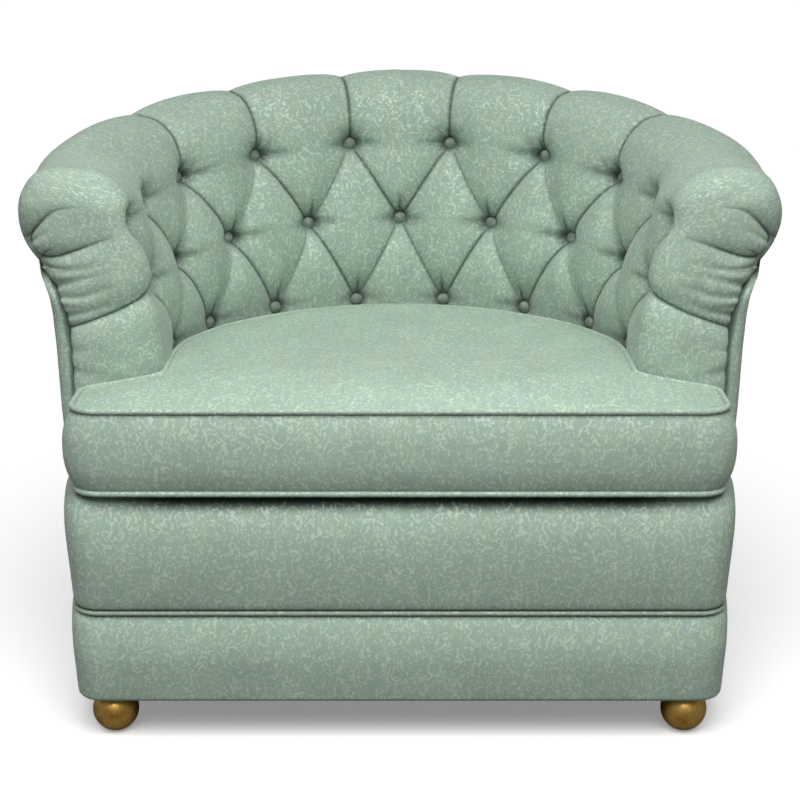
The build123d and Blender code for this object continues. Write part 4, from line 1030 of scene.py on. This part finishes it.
class CHAIR_OT_tufted_cover(Operator):
    """Tufted inside back and arms in one cover, over the roll and round the arm fronts"""

    bl_idname = "chair.tufted_cover"
    bl_label = "Tufted cover"

    def execute(self, context):
        sheet, s, t, first = tufted_sheet()
        edge = np.where(t > FLAT_APEX, FLAT_END - np.abs(s), FAR_EDGE)
        parts = [("tufted_cover", sheet, s, t, edge, np.zeros(s.shape))]
        for way, name in ((-1, "left_front"), (1, "right_front")):
            surface, arm_s, arm_t = arm_sheet(sheet, t, first, way)
            far = np.abs(arm_s)
            ends = far[:, :1] if way < 0 else far[:, -1:]
            sewn = np.broadcast_to(np.arange(len(far))[:, None] < first, far.shape)
            parts.append((name, surface, arm_s, arm_t, ends - far, sewn))
        pieces = []
        for name, surface, flat_s, flat_t, edge, sewn in parts:
            piece, column, row = shaped_grid(name, surface, paired(flat_s, flat_t) * MM)
            for amount, values in zip(FLAT_AMOUNTS, (flat_s, flat_t, edge, sewn)):
                set_amount(piece, amount, values[row, column])
            if name == "tufted_cover":
                turn_diagonals(piece, column, row)
            pieces.append(piece)
        cover = joined(pieces)
        self.refine_arms(cover)
        set_places(cover, self.drawn_in(cover, context.scene.chair_sizes))
        for name in FLAT_AMOUNTS:
            cover.data.attributes.remove(cover.data.attributes[name])
        nodes = ["tufted_back", "left_tufted_arm", "right_tufted_arm", "left_arm_front", "right_arm_front"]
        covered(cover, nodes)
        return {"FINISHED"}

    def refine_arms(self, cover):
        """Finer faces where the arm fronts are pleated."""
        mesh = cover.data
        s, t = np.abs(get_amount(cover, "flat_s")), get_amount(cover, "flat_t")
        fine = (s > FINE_START) & (t > FINE_LEVELS[0]) & (t < FINE_LEVELS[1])
        around = values_of(mesh.loops, "vertex_index", np.int32)
        starts = values_of(mesh.polygons, "loop_start", np.int32)
        picked = np.minimum.reduceat(fine[around], starts)
        edit_faces(mesh, picked, bpy.ops.mesh.subdivide, number_cuts=1)

    def drawn_in(self, cover, sizes):
        """Places after the cover is drawn in: level towards the frame inside, square to it elsewhere."""
        flat_s, t, edge, sewn = (get_amount(cover, name) for name in FLAT_AMOUNTS)
        sewn = sewn > 0.5
        s = np.abs(flat_s)
        sink, fold = cover_sink(s, t, np.where(flat_s < 0, -1.0, 1.0), sizes)
        pulled = sink + SEAM_PULL * np.exp(-edge / SEAM_PULL_RUN)
        sink = np.where(sewn, pulled, sink * smooth_step(0, EDGE_FADE, edge))
        # painted shade along the sewn edges
        dark = FOLD_SHADE * np.exp(-((edge / SEAM_SHADE_RUN) ** 2))
        fold = np.where(sewn, np.maximum(fold, dark), fold)
        set_amount(cover, "fold", fold)
        level = 1 - smooth_step(FLAT_ROW[3], FLAT_ROW[3] + LEVEL_FADE_UP, t)
        level = (level * (1 - smooth_step(0, LEVEL_FADE_ROUND, s - FLAT_END)))[:, None]
        places = get_places(cover)
        normals = values_of(cover.data.vertices, "normal", np.float32, 3).reshape(-1, 3)
        out = np.column_stack([places[:, 0], np.maximum(places[:, 1] - BARREL_Y, 0), np.zeros(len(places))])
        out /= np.linalg.norm(out, axis=1)[:, None]
        ways = level * out - (1 - level) * normals
        ways /= np.linalg.norm(ways, axis=1)[:, None]
        return places + ways * sink[:, None]


class CHAIR_OT_buttons(Operator):
    """Covered buttons, one piece for each row"""

    bl_idname = "chair.buttons"
    bl_label = "Buttons"

    def execute(self, context):
        sizes = context.scene.chair_sizes
        for row, name in ((1, "bottom_row"), (2, "middle_row"), (3, "top_row")):
            row_piece = joined([self.button(sizes, row, column) for column in ROW_COLUMNS[row]])
            row_piece.name = name + "_button_covers"
            finished(row_piece, "button_cloth", "chair", [name + "_buttons"])
        return {"FINISHED"}

    def button(self, sizes, row, column):
        """A dome on its seat, a little pinched at its rim and leaning its own way."""
        bpy.ops.object.select_all(action="DESELECT")
        bpy.ops.mesh.primitive_uv_sphere_add(segments=BUTTON_SEGMENTS, ring_count=BUTTON_RINGS, radius=1.0)
        piece = bpy.context.object
        ball = get_places(piece)
        rim = np.hypot(ball[:, 0], ball[:, 1])
        dome = np.where(ball[:, 2] > 0, ball[:, 2], BUTTON_BACK * ball[:, 2])
        around = np.arctan2(ball[:, 1], ball[:, 0])
        pinch = 1 + BUTTON_PINCH * np.sin(BUTTON_PINCHES * around + column) * rim**3
        lean = BUTTON_LEAN * np.sin(3.7 * column + row) * ball[:, 0]
        high = (dome + lean) * sizes.button_height
        a = column * PITCH if abs(column) <= STRAIGHT_COLUMN else math.copysign(math.pi / 2, column)
        seat_z = ROW_Z[row] - ROW_DROP[row] * float(rim_drop(np.array(column)))
        seat = on_barrel(np.array(column), np.array(ROW_R[row] + BUTTON_SEAT), np.array(seat_z))
        inward = np.array([-math.sin(a), -math.cos(a), 0.0])
        across = np.array([math.cos(a), -math.sin(a), 0.0])
        up = np.array([0.0, 0.0, 1.0])
        r = sizes.button_radius * pinch
        places = seat + np.outer(ball[:, 0] * r, across) + np.outer(ball[:, 1] * r, up)
        set_places(piece, places + np.outer(high, inward))
        lay_cloth(piece, ball[:, :2] * sizes.button_radius + column * 0.05)
        # painted shade round the button's rim, where it meets the cover
        set_amount(piece, "fold", 0.8 * smooth_step(0.8, 1.0, rim) * (ball[:, 2] < 0.5))
        return piece


class CHAIR_OT_outside_cover(Operator):
    """Outside cover from the base welt up under the roll, turned in at the arm fronts"""

    bl_idname = "chair.outside_cover"
    bl_label = "Outside cover"

    def execute(self, context):
        last_column = STRAIGHT_COLUMN + (SEAT_RUN - SEAM_RUN - LIP_R) / ARM_PITCH
        columns = np.linspace(last_column, -last_column, PANEL_POINTS)
        lines, flat = [], []
        for share in np.linspace(0, 1, PANEL_ROWS):
            right, left = (self.lip(share, way * last_column, way) for way in (1, -1))
            lines.append(np.vstack([right[::-1], self.body(share, columns), left]))
            run = arc_lengths(lines[-1])
            flat.append(run - run[-1] / 2)
        surface = np.array(lines)
        up = arc_lengths(surface[:, surface.shape[1] // 2])[:, None]
        piece, column, row = shaped_grid("outside_panel", surface, paired(3.0 - np.array(flat), up + 0.1))
        edge = np.minimum(column, surface.shape[1] - 1 - column)
        # painted shade along the ends turned in behind the arm fronts, and under the roll
        under_roll_shade = 0.5 * smooth_step(PANEL_ROWS - 6, PANEL_ROWS - 1, row)
        set_amount(piece, "fold", np.maximum(0.9 * (1 - smooth_step(1, 3.5, edge)), under_roll_shade))
        covered(piece, ["outside_cover"])
        return {"FINISHED"}

    def body(self, share, columns):
        """A level line round the shell, which flares under the roll and then turns in."""
        top = PANEL_TOP_Z - rim_drop(columns)
        low = BASE_WELT_Z + 1 * MM
        heights = low + (top - low) * share
        shell = np.array(PANEL_PROFILE) * MM
        radius = np.interp(heights, shell[:, 0], shell[:, 1])
        flare = PANEL_FLARE * smooth_step(*PANEL_FLARE_RUN, heights - top)
        turned = PANEL_TURN_IN * smooth_step(-PANEL_TURN_RUN, 0, heights - top)
        run = np.maximum(np.abs(columns) - STRAIGHT_COLUMN, 0) * ARM_PITCH
        bow = SIDE_BOW * (run / SEAT_RUN) ** 2
        return on_barrel(columns, radius + flare - turned - bow, heights)

    def lip(self, share, column, way):
        """The rounded front edge, from the side round to the seam and in behind the arm front."""
        start = self.body(share, np.array([column]))[0]
        seam_x, seam_y = seam_place(start[2])
        turn = np.linspace(0, 1, LIP_CELLS + 1)[1:] * math.pi / 2
        x = seam_x + LIP_GAP + (abs(start[0]) - seam_x - LIP_GAP) * np.cos(turn)
        y = start[1] - (start[1] - seam_y + 1 * MM) * np.sin(turn) ** 0.8
        x = np.append(x, seam_x - LIP_IN)
        y = np.append(y, seam_y + LIP_BACK)
        return np.column_stack([way * x, y, np.full(len(x), start[2])])


# Bands and welts


WELT_SIDES = 14
BASE_CORD_SHARE = 0.85  # the base welt is thinner than the cushion's welts
UNDER_CUSHION_Z = (296 * MM, 310 * MM)  # the front band is painted with shade between these, under the cushion
UNDER_CUSHION_X = (270 * MM, 370 * MM)  # and between these the painted shade thins, towards its corners


def band_surface(outline, ways, profile, cells, puff):
    """Rows of points round an outline, drawn in by the inset of each level and puffed along the front."""
    line = smooth_line(profile, cells) * MM
    rounded = smooth_line(puff, [6] * (len(puff) - 1)) * MM
    front = np.clip(-ways[:, 1], 0, 1)[:, None] ** 2
    rows = []
    for z, inset in line:
        drawn = inset + front * np.interp(z, rounded[:, 0], rounded[:, 1])
        rows.append(np.column_stack([outline - ways * drawn, np.full(len(outline), z)]))
    return np.stack(rows), paired(arc_lengths(outline), arc_lengths(line)[:, None])


def welt_surface(outline, ways, height, inset, radius):
    """A covered cord along an outline, a little gathered by its stitches."""
    turns = np.linspace(0, 2 * np.pi, WELT_SIDES + 1)
    run = arc_lengths(outline)
    gather = 1 + 0.025 * np.sin(run / (4.6 * MM)) + 0.02 * np.sin(run / (17 * MM))
    out = ways * (np.cos(turns)[:, None, None] * radius * gather[:, None])
    up = height + np.sin(turns)[:, None] * radius * gather
    return raised(outline - ways * inset + out, up), paired(run, turns[:, None] * radius)


class CHAIR_OT_bands(Operator):
    """Upper front band, lower band all round, and the welt between them"""

    bl_idname = "chair.bands"
    bl_label = "Base bands"

    def execute(self, context):
        loop, ways = body_loop(BAND_POINTS)
        self.lower_band(loop, ways)
        self.upper_band()
        self.cord(loop, ways, context.scene.chair_sizes.welt_radius)
        return {"FINISHED"}

    def lower_band(self, loop, ways):
        surface, cloth = band_surface(loop, ways, BASE_BAND, BASE_BAND_CELLS, BASE_PUFF)
        piece, column, row = shaped_grid("lower_band", surface, cloth + np.array([0.0, 1.7]))
        last = surface.shape[0] - 1
        # painted shade along the band's top, under the base welt
        set_amount(piece, "fold", 0.75 * smooth_step(last - 5, last, row))
        covered(joined([piece]), ["base_band"])

    def upper_band(self):
        """The band along the front and round its corners, with its rear ends turned in."""
        half = body_half()
        rear = FRONT_Y + SEAM_RUN
        side = half[half[:, 1] > FRONT_Y]
        reach = np.interp(rear, side[:, 1], side[:, 0])
        turned_in = [(reach, rear), (reach - 2 * MM, rear + 3 * MM), (reach - 18 * MM, rear + 5 * MM)]
        front = np.vstack([half[half[:, 1] <= rear], turned_in])
        strip = resampled(np.vstack([front[::-1] * np.array([-1, 1]), front[1:]]), FRONT_BAND_POINTS)
        outward = right_of(np.gradient(strip, axis=0))
        surface, cloth = band_surface(strip, outward, FRONT_BAND, FRONT_BAND_CELLS, FRONT_PUFF)
        piece, column, row = shaped_grid("upper_band", surface, cloth + np.array([0.3, 2.6]))
        height = surface[:, 0, 2][row]
        # painted shade under the cushion, less towards the corners, and just over the base welt
        middle = 1 - 0.9 * smooth_step(*UNDER_CUSHION_X, np.abs(surface[row, column, 0]))
        under_cushion_shade = 0.95 * middle * smooth_step(*UNDER_CUSHION_Z, height)
        over_welt_shade = 0.8 * (1 - smooth_step(172 * MM, 176 * MM, height))
        set_amount(piece, "fold", np.maximum(over_welt_shade, under_cushion_shade))
        covered(piece, ["front_band"])

    def cord(self, loop, ways, radius):
        surface, cloth = welt_surface(loop, ways, BASE_WELT_Z, radius + 1 * MM, BASE_CORD_SHARE * radius)
        piece, column, row = shaped_grid("base_cord", surface, cloth)
        # the cord is painted a little darker all round, and painted with shade where it meets the bands above and
        # below
        turn = 2 * np.pi * row / WELT_SIDES
        set_amount(piece, "fold", 0.15 + 0.7 * np.abs(np.sin(turn)) ** 6)
        covered(joined([piece]), ["base_welt"])


# Seat cushion and the deck under it


def edge_distance(points, loop):
    """Distance from points to an outline."""
    best = np.full(len(points), np.inf)
    for a, b in zip(loop[:-1], loop[1:]):
        step = b - a
        along = np.clip(((points - a) @ step) / (step @ step), 0, 1)
        best = np.minimum(best, np.linalg.norm(points - a - along[:, None] * step, axis=1))
    return best


def ring_places(loop, rings):
    """Rings of places from an outline in to its middle."""
    shares = 1 - (np.arange(rings + 1) / rings) ** 1.6
    flat = CUSHION_CENTRE + shares[:, None, None] * (loop - CUSHION_CENTRE)
    flat[-1] = CUSHION_CENTRE
    return flat


def cushion_face(loop, rings, crown, level, rise):
    """Rings from an outline to its middle, crowned by their distance from the edge."""
    flat = ring_places(loop, rings)
    away = edge_distance(flat.reshape(-1, 2), loop).reshape(flat.shape[:2])
    away[0] = 0
    height = level + crown * (1 - np.clip(1 - away / rise, 0, 1) ** 2.6)
    return raised(flat, height), flat


def front_share(points):
    """How much of the cushion's height is reached, by the distance from its front."""
    return 1 - np.clip(1 - (points[:, 1] - FRONT_Y) / FRONT_RISE, 0, 1) ** 2


def end_share(points):
    """The same, by the distance from the outer ends of its wings."""
    return 1 - np.clip(1 - (CUSHION_HALF - np.abs(points[:, 0])) / END_RISE, 0, 1) ** 1.6


def rear_lift(points):
    """Height that the filling lifts the cushion's rear edge by, most beside the arms."""
    turn = np.arctan2(np.abs(points[:, 0]), points[:, 1] - BARREL_Y)
    lift = REAR_LIFT + (NOTCH_LIFT - REAR_LIFT) * smooth_step(math.radians(35), math.radians(95), turn)
    return lift * np.clip((CUSHION_HALF - np.abs(points[:, 0])) / (CUSHION_HALF - NECK_HALF), 0, 1) ** 1.25


class CHAIR_OT_cushion(Operator):
    """Loose T-cushion: crowned faces, bulging boxing and two welts"""

    bl_idname = "chair.cushion"
    bl_label = "Seat cushion"

    def execute(self, context):
        sizes = context.scene.chair_sizes
        loop = resampled(mirrored_loop(cushion_half()), CUSHION_POINTS)
        ways = outward_ways(loop)
        lift = rear_lift(loop) * front_share(loop)
        top, top_cloth = self.top_face(loop, lift, sizes.cushion_crown)
        low_level = CUSHION_LOW_WELT_Z - 1 * MM
        sag = DECK_Z + 0.6 * MM - low_level
        bottom, bottom_cloth = cushion_face(loop, UNDER_RINGS, sag, low_level, UNDER_RISE)
        boxing, boxing_cloth = self.boxing(loop, ways, sizes, low_level, lift)
        faces = [
            ("seat_cushion_cover", top, top_cloth + np.array([0.0, 4.0])),
            ("cushion_under", bottom[:, ::-1], bottom_cloth[:, ::-1] + np.array([0.0, 6.0])),
            ("cushion_boxing", boxing, boxing_cloth + np.array([0.0, 5.0])),
        ]
        pieces = []
        for name, surface, cloth in faces:
            piece, column, row = shaped_grid(name, surface, cloth)
            # painted shade along the seams at the welts: the faces' outer rings and the boxing's top and bottom
            # rows
            deep = 0.8 * smooth_step(3.2, 1, row)
            if name == "cushion_boxing":
                last = surface.shape[0] - 1
                deep = 0.85 * np.maximum(smooth_step(4, 0, row), smooth_step(last - 4, last, row))
            set_amount(piece, "fold", deep)
            pieces.append(piece)
        covered(joined(pieces), ["cushion_cover", "cushion_core"], body="seat_cushion")
        for name, level in (("top", CUSHION_TOP_WELT_Z + lift), ("bottom", CUSHION_LOW_WELT_Z)):
            surface, cloth = welt_surface(loop, ways, level, -1.5 * MM, sizes.welt_radius)
            cord = joined([shaped_grid(f"cushion_{name}_cord", surface, cloth)[0]])
            covered(cord, [f"cushion_{name}_welt"], body="seat_cushion")
        return {"FINISHED"}

    def top_face(self, loop, lift, crown):
        flat = ring_places(loop, TOP_RINGS)
        points = flat.reshape(-1, 2)
        rear = loop[loop[:, 1] > FRONT_Y + WING_RUN - WING_REAR_CORNER / 2]
        inner = 1 - np.clip(1 - edge_distance(points, rear) / REAR_RISE, 0, 1) ** 2
        full = crown * inner * end_share(points) + rear_lift(points) * (1 - inner)
        height = (front_share(points) * full).reshape(flat.shape[:2])
        height[0] = lift
        return raised(flat, CUSHION_TOP_WELT_Z + SEAM_LIFT + height), flat

    def boxing(self, loop, ways, sizes, low_level, lift):
        """The boxing between the welts, sunk where the zip runs across its back."""
        share = np.linspace(0, 1, BOXING_ROWS)
        under = low_level + (ZIP_Z - ZIP_HALF - 1.5 * MM - low_level) * share
        over_low = ZIP_Z + ZIP_HALF + 1.5 * MM
        high = CUSHION_TOP_WELT_Z + SEAM_LIFT + lift
        over = over_low + (high - over_low) * share[:, None]
        slot = np.array([ZIP_Z - ZIP_HALF, ZIP_Z, ZIP_Z + ZIP_HALF])
        heights = np.vstack([np.repeat(np.concatenate([under, slot])[:, None], len(loop), axis=1), over])
        share = (heights - low_level) / (high - low_level)
        ends = smooth_step(*END_X, np.abs(loop[:, 0]))
        rear = smooth_step(FRONT_Y + REAR_RUN[0], FRONT_Y + REAR_RUN[1], loop[:, 1])
        neck = smooth_step(NECK_HALF - 14 * MM, NECK_HALF - 2 * MM, np.abs(loop[:, 0]))
        reach = (sizes.boxing_bulge + END_BULGE * ends) * (1 - rear)
        reach = reach + (REAR_BULGE - NECK_LOSS * neck) * MM * rear
        bulge = reach * (1 - np.abs(2 * share - 1) ** 2.4)
        turn = np.arctan2(loop[:, 0], loop[:, 1] - BARREL_Y)
        behind = np.where(loop[:, 1] > BARREL_Y, 1 - smooth_step(ZIP_TURN, ZIP_TURN + 0.03, np.abs(turn)), 0)
        sunk = np.zeros(heights.shape)
        sunk[BOXING_ROWS : BOXING_ROWS + len(slot)] = behind * ZIP_SINK
        run = arc_lengths(loop)
        ripple = RIPPLE * np.sin(run / (21 * MM) + 2 * np.sin(run / (83 * MM)))
        out = bulge - sunk + ripple * np.abs(2 * share - 1) ** 6
        out[0], out[-1] = 0, 0
        return raised(loop + ways * out[:, :, None], heights), paired(run, heights)


class CHAIR_OT_deck(Operator):
    """Lined deck that the cushion lies on"""

    bl_idname = "chair.deck"
    bl_label = "Deck"

    def execute(self, context):
        loop, ways = body_loop(DECK_POINTS)
        inset = loop - ways * DECK_INSET
        face, cloth = cushion_face(inset, UNDER_RINGS, DECK_CROWN, DECK_Z - DECK_DROP, DECK_RISE)
        lining = joined([shaped_grid("deck_lining", face, cloth)[0]])
        finished(lining, "deck_lining", "chair", ["deck_pad"])
        return {"FINISHED"}


class CHAIR_OT_frame_finishes(Operator):
    """Finishes of the frame, springs, feet and fittings"""

    bl_idname = "chair.frame_finishes"
    bl_label = "Frame finishes"

    def execute(self, context):
        slots = {part["node"]: part["material_slot"] for part in frame["record"]["subparts"]}
        shown = {"upholstery": "sage_brocade", "button_cover": "button_cloth"}
        for name, node in frame["nodes"].items():
            node.data.materials.clear()
            node.data.materials.append(finish_for(shown.get(slots[name], slots[name])))
        return {"FINISHED"}


# Stage


WORLD_LIGHT, WORLD_SEEN = 0.2, 1.0  # strength of the white world as light, and as seen by the camera
FLOOR_LIGHT = 0.15  # what the floor throws back as light
FLOOR_MORE, FLOOR_GLOW = 0.75, 0.25  # and what the camera sees more
KEY_STRENGTH, KEY_TILT, KEY_SOFTNESS = 2.4, 31, 50
FILL_STRENGTH, FILL_TILT, FILL_SIZE = 4.2, 5, 0.9
FILL_PLACE = (0.0, FRONT_Y - 0.5, 1)
CAMERA_PLACE = (0.0003, FRONT_Y - 2.090, 1.041)
CAMERA_TILT = 90 - 16.09
CAMERA_LENS, CAMERA_SENSOR = 84.23, 36.0


class CHAIR_OT_stage(Operator):
    """Pale floor, soft light and the camera"""

    bl_idname = "chair.stage"
    bl_label = "Stage"

    def execute(self, context):
        scene = context.scene
        bpy.ops.object.select_all(action="DESELECT")
        bpy.ops.mesh.primitive_plane_add(size=60)
        floor = context.object
        floor.name = "studio_floor"
        floor.data.materials.append(self.floor_finish())
        scene.world = self.studio()
        sun = bpy.data.lights.new("key", "SUN")
        sun.energy = KEY_STRENGTH
        sun.angle = math.radians(KEY_SOFTNESS)
        self.hold(sun, (0, 0, 0), KEY_TILT)
        fill = bpy.data.lights.new("front_fill", "AREA")
        fill.energy = FILL_STRENGTH
        fill.size = FILL_SIZE
        self.hold(fill, FILL_PLACE, FILL_TILT).visible_camera = False
        lens = bpy.data.cameras.new("view")
        lens.sensor_width = CAMERA_SENSOR
        lens.lens = CAMERA_LENS
        lens.clip_end = 100.0
        scene.camera = self.hold(lens, CAMERA_PLACE, CAMERA_TILT)
        scene.view_settings.view_transform = "Standard"
        return {"FINISHED"}

    def hold(self, lamp_or_lens, place, tilt):
        """Puts a lamp or lens in place, tilted up from straight down by some degrees."""
        holder = bpy.data.objects.new(lamp_or_lens.name, lamp_or_lens)
        holder.location = place
        holder.rotation_euler = (math.radians(tilt), 0, 0)
        bpy.context.scene.collection.objects.link(holder)
        return holder

    def studio(self):
        """A white world, bright to the camera and dimmer as a light."""
        world = bpy.data.worlds.new("studio")
        world.use_nodes = True
        tree = world.node_tree
        backdrop = tree.nodes["Background"]
        backdrop.inputs["Color"].default_value = (1, 1, 1, 1)
        path = tree.nodes.new("ShaderNodeLightPath")
        level = tree.nodes.new("ShaderNodeMapRange")
        level.inputs["To Min"].default_value = WORLD_LIGHT
        level.inputs["To Max"].default_value = WORLD_SEEN
        tree.links.new(path.outputs["Is Camera Ray"], level.inputs["Value"])
        tree.links.new(level.outputs["Result"], backdrop.inputs["Strength"])
        return world

    def floor_finish(self):
        """A floor that is pale to the camera and throws little light back on the chair."""
        n = NodeTree("pale_floor")
        seen = n.node("LightPath").outputs["Is Camera Ray"]
        bright = n.math("MULTIPLY_ADD", seen, FLOOR_MORE, FLOOR_LIGHT)
        shade = n.node("CombineColor")
        for socket in shade.inputs[:3]:
            n.put(socket, bright)
        matte, glow, both = n.node("BsdfDiffuse"), n.node("Emission"), n.node("AddShader")
        n.put_all(matte, Color=shade.outputs[0])
        n.put_all(glow, Strength=n.math("MULTIPLY", seen, FLOOR_GLOW))
        n.put(both.inputs[0], matte.outputs[0])
        n.put(both.inputs[1], glow.outputs[0])
        n.show(both.outputs[0])
        return n.material


class CHAIR_PT_panel(Panel):
    """The chair's pieces, sizes and colours"""

    bl_label = "Tufted club chair"
    bl_idname = "CHAIR_PT_panel"
    bl_space_type = "VIEW_3D"
    bl_region_type = "UI"
    bl_category = "Chair"

    def draw(self, context):
        for group in (context.scene.chair_sizes, context.scene.chair_colours):
            box = self.layout.box()
            for name in group.__annotations__:
                box.prop(group, name)
        for operator in OPERATORS:
            self.layout.operator(operator.bl_idname)


OPERATORS = (
    CHAIR_OT_frame_finishes,
    CHAIR_OT_tufted_cover,
    CHAIR_OT_buttons,
    CHAIR_OT_outside_cover,
    CHAIR_OT_bands,
    CHAIR_OT_deck,
    CHAIR_OT_cushion,
    CHAIR_OT_stage,
)
CLASSES = (ChairSizes, ChairColours, *OPERATORS, CHAIR_PT_panel)


def register():
    for kind in CLASSES:
        bpy.utils.register_class(kind)
    bpy.types.Scene.chair_sizes = PointerProperty(type=ChairSizes)
    bpy.types.Scene.chair_colours = PointerProperty(type=ChairColours)


def unregister():
    del bpy.types.Scene.chair_colours
    del bpy.types.Scene.chair_sizes
    for kind in reversed(CLASSES):
        bpy.utils.unregister_class(kind)


def main():
    register()
    bpy.ops.chair.frame_finishes()
    bpy.ops.chair.tufted_cover()
    bpy.ops.chair.buttons()
    bpy.ops.chair.outside_cover()
    bpy.ops.chair.bands()
    bpy.ops.chair.deck()
    bpy.ops.chair.cushion()
    bpy.ops.chair.stage()


if __name__ == "__main__":
    main()
